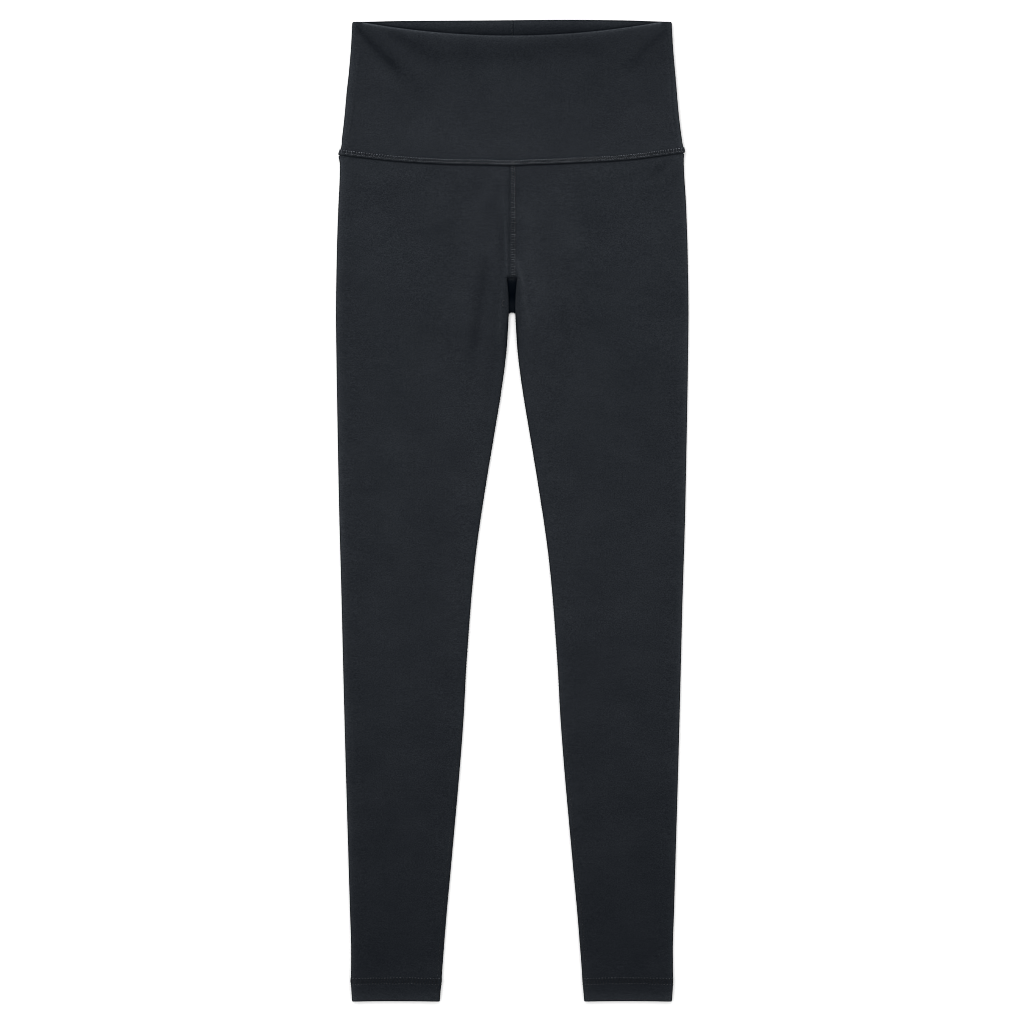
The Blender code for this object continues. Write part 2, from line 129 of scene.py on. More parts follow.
# Centre front and the slot below it
SLOT_HEAD = 0.7452
SLOT_HEAD_HEIGHT = 3.2 * MM
SLOT_SQUARENESS = 3.0
HEAD_DROP = 1.9 * MM       # the sewn band turns down into the slot
HEAD_FADE = 2.4 * MM
HEAD_SHADE = 0.45
HEAD_SHADE_FADE = 1.8 * MM
HEAD_HALF = 5.6 * MM
CROTCH = 0.7085
CROTCH_OPEN = 0.7112
STRIP_REACH = 6.0 * MM
CENTRE_GAP = 0.03 * MM     # from the middle to the cloth of each half
CENTRE_FACE = 5.2 * MM     # the finer columns of the centre front reach this far from the middle
CENTRE_ROWS = (0.1 * MM, 2.8 * MM)
BACK_ROWS = (-1.2 * MM, 1.2 * MM)
CENTRE_GROOVE = -2.9 * MM
CENTRE_DEPTH = 0.25 * MM
CENTRE_END = 4.2 * MM      # a fainter groove on the other side
CENTRE_RISE = 0.45 * MM
CENTRE_RISE_START = 0.9 * MM
CENTRE_STRIP_END = 4.4 * MM
CENTRE_RISE_END = 1.2 * MM
GUSSET_TIP = 0.7900
GUSSET_FOLD = 0.7102
GUSSET_DROOP = 1.6 * MM    # the fold hangs lower at its two corners
GUSSET_DROOP_REACH = 3.0 * MM
GUSSET_SAG = 0.25 * MM     # and its upper leaf hangs through in the middle

# Hems: levels of the two stitch rows, which press the cloth out a little at the sides
HEM_END = -0.3 * MM
HEM_SAG = 0.4 * MM         # its corners hang a little lower
HEM_SAG_REACH = 5.0 * MM
HEM_SHADE = 0.95           # painted shade at the very rim of the turned edge
HEM_SHADE_WIDTH = 0.8 * MM
HEM_ROWS = (0.0241, 0.0180)
HEM_ROW_FADE = 1.2 * MM
HEM_BUMP = 0.20 * MM
HEM_BOW = 1.0 * MM         # the rows droop by this much at each side
HEM_BOW_REACH = 9.0 * MM
HEM_ZONE = 0.08            # nothing droops above this level
SEAM_ROOM = 0.35 * MM      # the seams underneath stand clear of the surface by this much
ROOM_REACH = 5.0 * MM      # up to this far from the edge, with this fade
ROOM_FADE = 2.5 * MM
EDGE_REACH = 6.0 * MM      # width of the fine columns along an edge underneath
INSEAM_RIDGE = 0.25 * MM
INSEAM_TURN = 0.35         # its width, as a turn round the fold

SIDE_OUTLINE = table(
    "level outer",
    (0.0, 0.1648), (0.013, 0.1656), (0.023, 0.1659), (0.052, 0.1658), (0.093, 0.167),
    (0.175, 0.1694), (0.258, 0.1718), (0.34, 0.1739), (0.423, 0.1759), (0.505, 0.1781),
    (0.588, 0.1797), (0.67, 0.181), (0.707, 0.1814), (0.775, 0.1804), (0.812, 0.1792),
    (0.866, 0.177), (0.8708, 0.1774), (0.8726, 0.1762), (0.8747, 0.176))
FULLER = table(            # how much further out each side lies
    "level left right",
    (0.4, 0.0, 0.0), (0.5, 0.0004, 0.0), (0.82, 0.0005, 0.0), (0.862, 0.0, 0.0003),
    (0.87, 0.0, 0.0012), (0.873, 0.0, 0.001), (0.875, 0.0, 0.0003), (0.88, 0.0, 0.0),
    (0.892, 0.0, 0.0006), (0.93, 0.0, 0.0007), (0.956, 0.0, 0.0))
BAND_OUTLINE = table(
    "level outer",
    (0.8731, 0.1778), (0.8747, 0.1781), (0.8766, 0.1778), (0.8782, 0.1768), (0.883, 0.1755),
    (0.8865, 0.175), (0.911, 0.172), (0.948, 0.1688), (0.985, 0.1657), (1.0084, 0.1645))
INNER_FOLD = table(
    "level inner",
    (0.0, 0.0744), (0.013, 0.0733), (0.023, 0.0725), (0.052, 0.0703), (0.093, 0.067),
    (0.134, 0.0632), (0.175, 0.0595), (0.217, 0.0557), (0.258, 0.0523), (0.299, 0.0494),
    (0.34, 0.0474), (0.382, 0.0445), (0.423, 0.0412), (0.464, 0.0369), (0.505, 0.0311),
    (0.546, 0.0246), (0.588, 0.0176), (0.629, 0.0109), (0.659, 0.0068), (0.6757, 0.0052),
    (0.691, 0.0042), (0.7066, 0.0034), (0.7128, 0.0031), (0.722, 0.0033), (0.7313, 0.0038),
    (0.7457, 0.0051))

# Heights of a leg's upper layer at the outer fold, between the folds, and at the inner fold or
# the centre front, with the width over which that last one settles, the wall, and the height of
# its underside
LEG_LIE = table(
    "level fold middle inside settle wall under",
    (0.0, 0.004, 0.0036, 0.004, 0.012, HEM_WALL, 0.0),
    (0.005, 0.0049, 0.0043, 0.0049, 0.012, HEM_WALL, 0.0),
    (0.0165, 0.005, 0.0044, 0.005, 0.012, HEM_WALL, 0.0),
    (0.0182, 0.0048, 0.0041, 0.0048, 0.012, 0.0017, 0.0004),
    (0.0244, 0.0048, 0.0041, 0.0048, 0.012, 0.0017, 0.0004),
    (0.0262, 0.0046, 0.0038, 0.0046, 0.012, 0.0013, 0.0002),
    (0.045, 0.0038, 0.0029, 0.0038, 0.012, CLOTH, 0.0),
    (0.2, 0.0036, 0.0027, 0.0036, 0.014, CLOTH, 0.0),
    (0.55, 0.0036, 0.0028, 0.0036, 0.016, CLOTH, 0.0),
    (0.63, 0.0038, 0.0029, 0.0044, 0.024, CLOTH, 0.0),
    (0.69, 0.0038, 0.003, 0.0058, 0.038, CLOTH, 0.0),
    (0.71, 0.0038, 0.003, 0.006, 0.042, CLOTH, 0.0),
    (0.748, 0.0038, 0.003, 0.006, 0.046, CLOTH, 0.0),
    (0.79, 0.0038, 0.003, 0.0048, 0.046, CLOTH, 0.0),
    (0.845, 0.0039, 0.0031, 0.0038, 0.04, CLOTH, 0.0),
    (0.866, 0.0046, 0.0038, 0.0042, 0.03, CLOTH, 0.0),
    (0.87, 0.0047, 0.0041, 0.0043, 0.03, CLOTH, 0.0003),
    (0.8728, 0.0046, 0.0042, 0.0042, 0.03, CLOTH, UNDER_LAP),
    (0.8747, 0.0046, 0.0042, 0.0042, 0.03, CLOTH, UNDER_LAP))

INSEAM = table(            # how far in from the inner fold's edge the inseam lies, on the front
    "level offset",
    (0.0, 0.0044), (0.06, 0.0044), (0.12, 0.0042), (0.29, 0.003), (0.345, 0.0012), (0.42, 0.0),
    (0.75, 0.0))
LOWER_LEAF = table(
    "level half",
    (GUSSET_FOLD, 0.0027), (0.7135, 0.005), (0.719, 0.0085), (0.726, 0.0108), (0.735, 0.0115),
    (0.7472, 0.01), (0.76, 0.0074), (0.775, 0.004), (GUSSET_TIP, 0.0005))
UPPER_LEAF = table(
    "level middle half",
    (GUSSET_FOLD, 0.00205, 0.003), (0.7135, 0.00215, 0.0031), (0.7175, 0.00215, 0.0047),
    (0.7225, 0.00205, 0.005), (0.7313, 0.0017, 0.0053), (0.74, 0.00185, 0.005),
    (0.746, 0.0024, 0.0047), (0.7485, 0.0032, 0.0047))

# Soft troughs and ridges, from one end to the other, with the half width across at each end and
# the height in the middle (a trough is negative). Each fades out over this part of its length.
CREASE_FADE = 0.30
CREASE = "x0 level0 x1 level1 spread0 spread1 height"
BAND_CREASES = table(
    CREASE,
    (-0.183, 1.0267, -0.102, 0.9417, 0.0006, 0.0062, -0.001),
    (-0.14, 0.982, -0.082, 0.93, 0.004, 0.012, -0.0003),
    (-0.158, 1.013, -0.078, 0.95, 0.002, 0.013, 0.0004),
    (-0.168, 0.999, -0.118, 0.934, 0.003, 0.009, 0.0003),
    (-0.136, 1.001, -0.062, 0.964, 0.004, 0.01, -0.0006),
    (-0.1, 0.972, 0.03, 0.974, 0.008, 0.01, -0.0003),
    (-0.02, 0.976, 0.12, 0.984, 0.009, 0.009, -0.0003),
    (-0.05, 0.962, 0.05, 0.94, 0.012, 0.014, 0.0002),
    (0.171, 1.011, 0.112, 0.956, 0.0012, 0.0065, -0.0006),
    (0.16, 1.013, 0.092, 0.966, 0.003, 0.011, 0.0002),
    (0.15, 0.968, 0.06, 0.944, 0.007, 0.012, -0.0003))
LEG_CREASES = {
    1: table(
        CREASE,
        (0.003, 0.77, 0.0145, 0.729, 0.0034, 0.0012, 0.0011),
        (0.0105, 0.742, 0.021, 0.678, 0.0011, 0.0024, 0.0005),
        (0.005, 0.748, 0.0085, 0.688, 0.0018, 0.0034, -0.0006),
        (0.012, 0.85, 0.028, 0.68, 0.008, 0.014, 0.0004),
        (0.042, 0.872, 0.066, 0.745, 0.015, 0.018, 0.0003),
        (0.052, 0.732, 0.057, 0.656, 0.005, 0.008, -0.0003),
        (0.072, 0.842, 0.112, 0.804, 0.008, 0.01, 0.0002),
        (0.058, 0.79, 0.08, 0.748, 0.006, 0.008, 0.0002),
        (0.166, 0.868, 0.14, 0.852, 0.003, 0.005, -0.0006),
        (0.174, 0.862, 0.116, 0.838, 0.005, 0.009, 0.0002),
        (0.06, 0.704, 0.13, 0.69, 0.014, 0.02, -0.0002),
        (0.118, 0.56, 0.128, 0.33, 0.018, 0.022, 0.0001),
        (0.07, 0.52, 0.09, 0.36, 0.014, 0.018, -0.0001),
        (0.1, 0.24, 0.122, 0.08, 0.012, 0.016, 0.0001),
        (0.146, 0.2, 0.14, 0.05, 0.008, 0.012, -0.0001),
        (0.154, 0.06, 0.12, 0.032, 0.005, 0.008, -0.0003)),
    -1: table(
        CREASE,
        (0.0078, 0.825, 0.005, 0.7385, 0.0013, 0.0013, 0.0009),
        (0.0075, 0.76, 0.0145, 0.672, 0.0013, 0.0024, 0.0005),
        (0.0112, 0.815, 0.0112, 0.73, 0.0026, 0.0034, -0.0004),
        (0.0085, 0.878, 0.0096, 0.815, 0.005, 0.004, 0.0005),
        (0.006, 0.89, 0.05, 0.785, 0.007, 0.01, 0.0006),
        (0.0255, 0.78, 0.044, 0.64, 0.005, 0.006, -0.0007),
        (0.014, 0.736, 0.026, 0.598, 0.0045, 0.008, -0.0003),
        (0.052, 0.77, 0.06, 0.65, 0.012, 0.016, 0.0002),
        (0.172, 0.866, 0.12, 0.842, 0.005, 0.01, 0.0002),
        (0.171, 0.88, 0.172, 0.62, 0.011, 0.012, -0.0002),
        (0.118, 0.62, 0.12, 0.4, 0.018, 0.022, 0.0001),
        (0.08, 0.56, 0.1, 0.42, 0.014, 0.018, -0.0001),
        (0.104, 0.23, 0.116, 0.08, 0.012, 0.016, 0.0001),
        (0.152, 0.33, 0.148, 0.12, 0.008, 0.012, -0.0001),
        (0.156, 0.058, 0.13, 0.034, 0.005, 0.008, -0.0002)),
}
BACK_CREASES = table(
    CREASE,
    (0.02, 0.8, 0.12, 0.73, 0.012, 0.016, 0.0004),
    (0.012, 0.7, 0.06, 0.61, 0.008, 0.014, 0.0004),
    (0.12, 0.5, 0.1, 0.3, 0.014, 0.018, 0.0003))

# The seam allowance at each side of the waistband shows as a faint step, between two levels, each
# with the height over which it fades
PRESS = {
    1: table("level x", (0.889, 0.1692), (0.914, 0.165), (0.956, 0.1628), (0.985, 0.1592)),
    -1: table("level x", (0.889, 0.168), (0.92, 0.163), (0.967, 0.158), (0.99, 0.155)),
}
PRESS_START = (0.886, 0.010)
PRESS_END = (0.992, 0.020)
PRESS_HEIGHT = 0.30 * MM
PRESS_STEP = 0.9 * MM
PRESS_SIDE = 2.0 * MM      # it fades over this width toward the side fold
PRESS_SHADE = (0.14, 0.8 * MM)
PRESS_LIGHT = (0.10, 1.0 * MM)

# Tone: how light the knit is at each place, 1 being its own colour. Much of it is painted light and shade,
# as marked below.
# painted falloff of light: the legs darken toward the hem, with a painted highlight on the hem's turned
# edge
LEG_FALLOFF_TONE = table(
    "level tone",
    (0.0, 0.97), (0.005, 0.84), (0.013, 0.61), (0.028, 0.6), (0.06, 0.585), (0.17, 0.69),
    (0.35, 0.81), (0.5, 0.86), (0.6, 0.88), (0.722, 0.9), (0.784, 0.935), (0.85, 0.92),
    (0.868, 0.99))
BAND_TONE = table(
    "level tone",
    (0.873, 1.0), (0.905, 0.95), (0.95, 0.87), (0.98, 0.75), (0.996, 0.72), (1.01, 0.77))
# painted shade: the gusset's upper leaf down the slot is darkened as if in the slot's shadow, darker still
# toward its edges
GUSSET_SHADE_TONE = table(
    "level tone",
    (0.7107, 0.16), (0.715, 0.24), (0.72, 0.18), (0.7235, 0.1), (0.727, 0.05), (0.731, 0.09),
    (0.736, 0.12), (0.7395, 0.15), (0.742, 0.34), (0.745, 0.72), (0.7485, 0.85))
GUSSET_UNDER_TONE = 0.92
GUSSET_EDGE_SHADE = 0.6
Fold = namedtuple("Fold", "gain width")
SIDE_FOLD_HIGHLIGHTS = {1: Fold(1.05, 2.2 * MM), -1: Fold(1.05, 3.0 * MM)}  # painted highlight along the side folds
# painted light and shade along the inner folds: lighter low down, most on the left leg, whose fold faces
# the light, and a little darker higher up
INNER_FOLD_LIGHT_LOW = {1: Fold(0.58, 3.5 * MM), -1: Fold(0.14, 4.0 * MM)}
INNER_FOLD_LIGHT_HIGH = {1: Fold(-0.08, 3.5 * MM), -1: Fold(-0.12, 4.0 * MM)}
INNER_FOLD_LIGHT_CHANGE = (0.30, 0.25)  # from the low to the high ones: start, and height of the change
CROTCH_FOLDS = {1: Fold(-0.92, 2.2 * MM), -1: Fold(-0.60, 2.5 * MM)}  # deep in shade at the crotch
CROTCH_SHADE = (0.688, 0.0185)    # at this level, and over this height
THIGH_GLOW = 0.12          # the insides of the thighs are a little lighter, up to these levels
THIGH_GLOW_TOP = {1: 0.78, -1: 0.67}
THIGH_GLOW_TOP_FADE = 0.06
THIGH_GLOW_START = (0.33, 0.10)
THIGH_GLOW_WIDTH = 26.0 * MM
RIM_SHADE = 0.80           # painted shade where the folds turn down at the very edge
RIM_SHADE_WIDTH = 1.0 * MM
EDGE_HIGHLIGHT = 0.50           # painted highlight along the front waist edge, strongest toward its corners
EDGE_HIGHLIGHT_WIDTH = 0.9 * MM
EDGE_HIGHLIGHT_CORNERS = (5.2, 3.6)
EDGE_HIGHLIGHT_END = 0.1552     # and not where it meets the back edge
EDGE_HIGHLIGHT_FADE = 3.0 * MM
# a broader painted highlight below the front edge, weaker toward the corners
EDGE_GLOW = 0.94
EDGE_GLOW_WIDTH = 3.7 * MM
EDGE_GLOW_CORNER = 0.42
CREASE_SHADING = 320.0        # painted shade or light for each metre of a crease's depth or height
GROOVE_PAINTED_SHADE = 0.52         # painted shade in the groove below the waist seam
GROOVE_SOFT = 0.6 * MM
ROW_SHADE = 0.28           # and under the stitch rows
ROW_SHADE_WIDTH = 0.6 * MM
SEAM_SHADE = 0.17          # and over the whole sewn band
SEAM_SHADE_FADE = 0.6 * MM
ABOVE_SHADE = 0.12         # and just above it
ABOVE_SHADE_PLACE = 1.0 * MM
ABOVE_SHADE_WIDTH = 0.9 * MM
CENTRE_SHADE = 0.22        # in the groove beside the centre-front seam
CENTRE_SHADE_WIDTH = 0.6 * MM
CENTRE_END_SHADE = 0.06
HEM_ROWS_SHADE = 0.05      # between a hem's stitch rows
SLOT_START = 3.0 * MM      # a leg's edge comes into the slot's shade over this height
SLOT_SHADE = 0.92
SLOT_SHADE_WIDTH = 0.7 * MM
# The back band's inner face above the front edge: painted shade over it, with painted light near its top
# fold
FACING_PAINTED_SHADE = 0.55
FACING_GLOW = 0.95
FACING_GLOW_WIDTH = 5.3 * MM
FACING_CONTACT_SHADE = 0.60         # painted contact shadow where it goes down behind the front edge
FACING_CONTACT_SHADE_WIDTH = 1.5 * MM
FACING_RIM_SHADE = (0.20, 0.35)  # and painted shade at its fold: in the middle, and how much more at the corners
FACING_RIM_SHADE_WIDTH = 0.9 * MM
FACING_HIDDEN = 6.0 * MM   # the facing is plain this far below the front edge
BACK_SEAM_X = 1.2 * MM     # the centre-back seam shows here on the facing
BACK_SEAM_DARK = (0.75, 0.0, 0.45 * MM)    # its line: shade, place and width
BACK_SEAM_LIGHT = (0.22, 1.1 * MM, 0.5 * MM)

# Columns and rows of the shells
STRIP_TURN = 12
STRIP_TOP = 10
FRONT_PARTS = 64
FOLD_TOP_PARTS = 9
FOLD_UNDER_PARTS = 5
BACK_PARTS = 26
EDGE_PARTS = 12
FRONT_COLUMNS = STRIP_TURN + STRIP_TOP + FRONT_PARTS - 1 + FOLD_TOP_PARTS
LEG_RUNS = table(
    "start end step",
    (HEM_END + HEM_WALL / 2, 0.006, 0.0006), (0.006, 0.0162, 0.0015), (0.0162, 0.0259, 0.0006),
    (0.0259, 0.034, 0.0013), (0.034, 0.69, 0.0042), (0.69, 0.706, 0.002), (0.706, 0.7125, 0.0006),
    (0.7125, 0.7418, 0.0018), (0.7418, 0.7463, 0.0003), (0.7463, 0.756, 0.0012),
    (0.756, 0.846, 0.0045), (0.846, 0.866, 0.0025), (0.866, 0.87, 0.0008), (0.87, 0.8746, 0.0004))
BAND_RUNS = table(
    "start end step",
    (-LAP, BAND_NEAR, 0.3 * MM),
    (BAND_NEAR, 8.0 * MM, 0.8 * MM),
    (8.0 * MM, BAND_HEIGHT - 9.0 * MM, 2.2 * MM),
    (BAND_HEIGHT - 9.0 * MM, BAND_HEIGHT - BAND_WALL / 2, 0.55 * MM))
BAND_PARTS = (10, 66, 26)  # columns across half of the waistband: its middle, its face, its side
BAND_MIDDLE_WIDTH = 5.0 * MM
BAND_SIDE_WIDTH = 24.0 * MM
COLUMN_DRIFT = 1.4         # a leg's columns lie closer together near its inner side
QUARTER_PARTS = 8
QUARTER_END = 0.02         # the front and back bands' side folds stop short of each other
GUSSET_COLUMNS = 13
GUSSET_TURN = 8
GUSSET_STEP = 1.2 * MM
RIM_STEPS = 4

RNG = np.random.default_rng(7)


# ------------------------------------------------------------------ curves and tables

def smooth(rows, column, place):
    """A column of a table at any place along its first column, on a curve through its rows that
    never overshoots."""
    places = np.array([row[0] for row in rows])
    values = np.array([getattr(row, column) for row in rows])
    slopes = np.diff(values) / np.diff(places)
    tangents = np.empty(len(values))
    tangents[0], tangents[-1] = slopes[0], slopes[-1]
    before, after = slopes[:-1], slopes[1:]
    agree = before * after > 0
    total = np.where(agree, before + after, 1.0)
    tangents[1:-1] = np.where(agree, 2 * before * after / total, 0.0)
    place = np.clip(place, places[0], places[-1])
    k = np.clip(np.searchsorted(places, place, side="right") - 1, 0, len(places) - 2)
    width = places[k + 1] - places[k]
    t = (place - places[k]) / width
    return ((2 * t ** 3 - 3 * t ** 2 + 1) * values[k] + (t ** 3 - 2 * t ** 2 + t) * tangents[k] * width
            + (3 * t ** 2 - 2 * t ** 3) * values[k + 1] + (t ** 3 - t ** 2) * tangents[k + 1] * width)


def mix(a, b, t):
    return a + (b - a) * t


def ease(t):
    """0 to 1, with flat ends."""
    t = np.clip(t, 0.0, 1.0)
    return t * t * (3 - 2 * t)


def bell(t):
    return np.exp(-np.square(t))


def runs(rows):
    """Values along several runs, each with its own step."""
    parts = []
    for run in rows:
        count = max(1, round((run.end - run.start) / run.step))
        parts.append(np.linspace(run.start, run.end, count + 1)[:-1])
    return np.concatenate(parts + [[rows[-1].end]])


def crease_height(creases, x, level):
    """The height that soft troughs and ridges add at each place."""
    total = np.zeros(np.broadcast(x, level).shape)
    for c in creases:
        dx, dy = c.x1 - c.x0, c.level1 - c.level0
        length = math.hypot(dx, dy)
        along = ((x - c.x0) * dx + (level - c.level0) * dy) / length ** 2
        across = ((x - c.x0) * dy - (level - c.level0) * dx) / length
        fade = ease(along / CREASE_FADE) * ease((1 - along) / CREASE_FADE)
        spread = mix(c.spread0, c.spread1, np.clip(along, 0, 1))
        total = total + c.height * fade * bell(across / spread)
    return total


def waves(count, longest, shortest, height):
    """A slow, uneven swell: a function of x and level."""
    lengths = RNG.uniform(shortest, longest, count)
    turns = RNG.uniform(0, math.pi, count)
    phases = RNG.uniform(0, 2 * math.pi, count)
    heights = RNG.uniform(0.5, 1.0, count) * height / math.sqrt(count)

    def swell(x, level):
        total = np.zeros(np.broadcast(x, level).shape)
        for length, turn, phase, high in zip(lengths, turns, phases, heights):
            along = x * math.cos(turn) + level * math.sin(turn)
            total = total + high * np.sin(2 * math.pi * along / length + phase)
        return total
    return swell


def relief_shading(relief):
    """Painted shade in troughs and painted light on ridges, darker and lighter than the cloth beside them.
    """
    return 1 + CREASE_SHADING * relief


def edge_highlight_and_shade(from_edge, fold, rim_shade=RIM_SHADE):
    """A painted highlight along a folded edge, up to the very rim, which has painted shade where it turns
    down.
    """
    near = np.maximum(from_edge, 0.0)
    rim = bell(np.square(near / RIM_SHADE_WIDTH))
    return (1 + fold.gain * np.exp(-near / fold.width)) * (1 - rim_shade * rim)


def fullness(side, level):
    return smooth(FULLER, "left" if side > 0 else "right", level)


def fill_out(x, level):
    """Places across the waistband, each half moved out with its own side."""
    return x * (1 + np.where(x > 0, fullness(1, level), fullness(-1, level)) / SEAM_HALF_SPAN)


def seam_level(x, dip):
    """The waist seam, a shallow arc between the side folds."""
    along = x / SEAM_HALF_SPAN
    arc = SIDE_SEAM_LEVEL - dip * (1 - np.square(along))
    return arc + SEAM_TILT * along + smooth(SEAM_SAG, "shift", x)


# ------------------------------------------------------------------ meshes

def unit(vectors):
    return vectors / np.maximum(np.linalg.norm(vectors, axis=-1, keepdims=True), 1e-12)


def make_object(name, points, faces, tones, material):
    """A smooth mesh with a tone for each point. Its faces are turned to point outward."""
    points = np.asarray(points, dtype=float)
    first, second, third = (points[[face[k] for face in faces]] for k in range(3))
    volume = np.einsum("ij,ij->i", first, np.cross(second, third)).sum()
    if volume < 0:
        faces = [face[::-1] for face in faces]
    mesh = bpy.data.meshes.new(name)
    mesh.from_pydata(points.tolist(), [], faces)
    mesh.update()
    mesh.shade_smooth()
    attribute = mesh.attributes.new("tone", "FLOAT", "POINT")
    attribute.data.foreach_set("value", np.asarray(tones, dtype=np.float32))
    piece = bpy.data.objects.new(name, mesh)
    bpy.context.collection.objects.link(piece)
    piece.data.materials.append(material)
    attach(piece, "root")
    return piece


def rounded_end(outer, inner, direction, reach):
    """Lines that close a wall's end with a half round, each with the painted shade that it turns to."""
    middle, half = (outer + inner) / 2, (outer - inner) / 2
    for k in range(1, RIM_STEPS):
        angle = math.pi / 2 * k / RIM_STEPS
        lean = direction * reach * math.sin(angle)
        shade = 1 - RIM_SHADE * math.sqrt(math.sin(angle))
        yield middle + half * math.cos(angle) + lean, middle - half * math.cos(angle) + lean, shade


def grid_faces(rows, columns, first=0):
    """The indices of a grid of points that is closed round its columns, and its quads."""
    index = np.arange(rows * columns).reshape(rows, columns) + first
    following = np.roll(index, -1, axis=1)
    quads = np.stack([index[:-1], following[:-1], following[1:], index[1:]], axis=-1)
    return index, quads.reshape(-1, 4).tolist()


def shell(name, outer, inner, tone, inner_tone, material, ends=(0.0, 0.0), sides=(0.0, 0.0)):
    """A closed wall between two grids of points. ends says how far its first and last rows are
    rounded out, and sides the same for its first and last columns."""
    rows = [[outer[r], inner[r], tone[r], inner_tone[r]] for r in range(len(outer))]
    for at, step, reach in ((0, 1, ends[0]), (-1, -1, ends[1])):
        if reach:
            away = unit((outer[at] - outer[at + step]) + (inner[at] - inner[at + step]))
            extra = [[o, i, tone[at] * shade, inner_tone[at] * shade]
                     for o, i, shade in rounded_end(outer[at], inner[at], away, reach)]
            rows = extra[::-1] + rows if at == 0 else rows + extra
    columns = len(outer[0])
    loops, tones = [], []
    for o, i, row_tone, row_inner in rows:
        start = (o[0] + i[0]) / 2 + unit(o[0] - o[1]) * sides[0]
        end = (o[-1] + i[-1]) / 2 + unit(o[-1] - o[-2]) * sides[1]
        loops.append(np.vstack([o, end[None], i[::-1], start[None]]))
        tones.append(np.concatenate([row_tone, [row_tone[-1]], row_inner[::-1], [row_tone[0]]]))
    loops = np.array(loops)
    around = loops.shape[1]
    index, faces = grid_faces(len(loops), around)
    partner = around - 2 - np.arange(columns)
    for row, turned in ((index[0], True), (index[-1], False)):
        caps = [[int(row[c]), int(row[c + 1]), int(row[partner[c + 1]]), int(row[partner[c]])]
                for c in range(columns - 1)]
        caps.append([int(row[columns - 1]), int(row[columns]), int(row[columns + 1])])
        caps.append([int(row[around - 2]), int(row[around - 1]), int(row[0])])
        faces += [cap[::-1] for cap in caps] if turned else caps
    return make_object(name, loops.reshape(-1, 3), faces, np.concatenate(tones), material)


class Thread:
    """Many small tubes joined in one mesh."""

    def __init__(self):
        self.points, self.faces, self.shades, self.count = [], [], [], 0

    def tube(self, line, ups, radii, sides, shade):
        """A closed tube along a line, with the way up and the shade at each point. It is pressed
        flat where it meets the surface that the garment lies on."""
        along = unit(np.gradient(line, axis=0))
        across = unit(np.cross(ups, along))
        up = np.cross(along, across)
        angle = 2 * math.pi * np.arange(sides) / sides
        ring = (across[:, None] * np.cos(angle)[None, :, None]
                + up[:, None] * np.sin(angle)[None, :, None])
        points = line[:, None] + ring * radii[:, None, None]
        points[..., 2] = np.maximum(points[..., 2], 0.0)
        index, faces = grid_faces(len(line), sides, self.count)
        self.faces += faces + [index[0][::-1].tolist(), index[-1].tolist()]
        self.points.append(points.reshape(-1, 3))
        self.shades.append(np.repeat(shade, sides))
        self.count += index.size

    def plain_tube(self, line, up, radius, sides, shade):
        """A tube with one way up, one radius and one shade."""
        count = len(line)
        self.tube(line, np.tile(up, (count, 1)), np.full(count, radius), sides, np.full(count, shade))

    def object(self, name, material):
        points, shades = np.concatenate(self.points), np.concatenate(self.shades)
        return make_object(name, points, self.faces, shades, material)


def turned_normals(grid, rows, columns, way=1):
    """The unit normal at each point of a grid, turned so that they point up on average over some
    of its points, or down with way -1."""
    normals = unit(np.cross(np.gradient(grid, axis=1), np.gradient(grid, axis=0)))
    return -normals if np.mean(normals[rows][:, columns, 2]) * way < 0 else normals


PITCH_SPREAD = 0.18        # how unevenly the stitches follow each other


def resample(line, ups, pitch, parts):
    """Points along a line: parts for each stitch, and a whole number of stitches, a little uneven."""
    step = np.linalg.norm(np.diff(line, axis=0), axis=1)
    far = np.concatenate([[0], np.cumsum(step)])
    stitches = max(1, round(far[-1] / pitch))
    lengths = RNG.uniform(1 - PITCH_SPREAD, 1 + PITCH_SPREAD, stitches)
    ends = np.concatenate([[0], np.cumsum(lengths)]) * far[-1] / lengths.sum()
    at = np.interp(np.arange(stitches * parts + 1) / parts, np.arange(stitches + 1), ends)
    points = np.stack([np.interp(at, far, line[:, k]) for k in range(3)], axis=-1)
    ways = unit(np.stack([np.interp(at, far, ups[:, k]) for k in range(3)], axis=-1))
    return points, ways, stitches


STITCH_PARTS = 6
STITCH_SWAY = 0.25 * MM
STITCH_SIZES = (0.80, 1.15)
BEAD_GAIN = 2.1            # each stitch shows as a bead, which rises out of the cloth
BEAD_CUT = 1.0
BEAD_RADIUS = (0.38, 0.62) # beside the bead, and how much more on it, in radii of the thread
BEAD_LIFT = (-2.2, 2.9)
# painted shade where the thread goes down beside the bead, and painted light on the bead
BEAD_SHADING = (0.25, 0.75)


def stitch_row(thread, line, ups, pitch, radius, sides=6, tone=1.0, uneven=0.35):
    """A row of stitches: the thread rises over each one and goes down between them."""
    points, ways, stitches = resample(line, ups, pitch, STITCH_PARTS)
    turn = np.arange(len(points)) / STITCH_PARTS
    sway = np.interp(turn, np.arange(stitches + 1), RNG.uniform(-STITCH_SWAY, STITCH_SWAY, stitches + 1))
    across = unit(np.cross(ways, np.gradient(points, axis=0)))
    bead = np.clip(BEAD_GAIN * np.sin(math.pi * (turn % 1.0)) - BEAD_CUT, 0.0, 1.0)
    size = np.repeat(RNG.uniform(*STITCH_SIZES, stitches + 1), STITCH_PARTS)[:len(points)]
    shade = np.repeat(RNG.uniform(1 - uneven, 1 + uneven, stitches + 1), STITCH_PARTS)[:len(points)]
    radii = radius * (BEAD_RADIUS[0] + BEAD_RADIUS[1] * bead) * size
    lift = radius * (BEAD_LIFT[0] + BEAD_LIFT[1] * bead) * size
    line = points + ways * lift[:, None] + across * sway[:, None]
    thread.tube(line, ways, radii, sides, shade * tone * (BEAD_SHADING[0] + BEAD_SHADING[1] * bead))
    return points, ways


RUNG_PLACES = np.linspace(0.0, 1.0, 5)
RUNG_LIFT = (0.2, 1.6)     # at its ends, and how much more in the middle, in radii
RUNG_TONES = (0.4, 1.3)


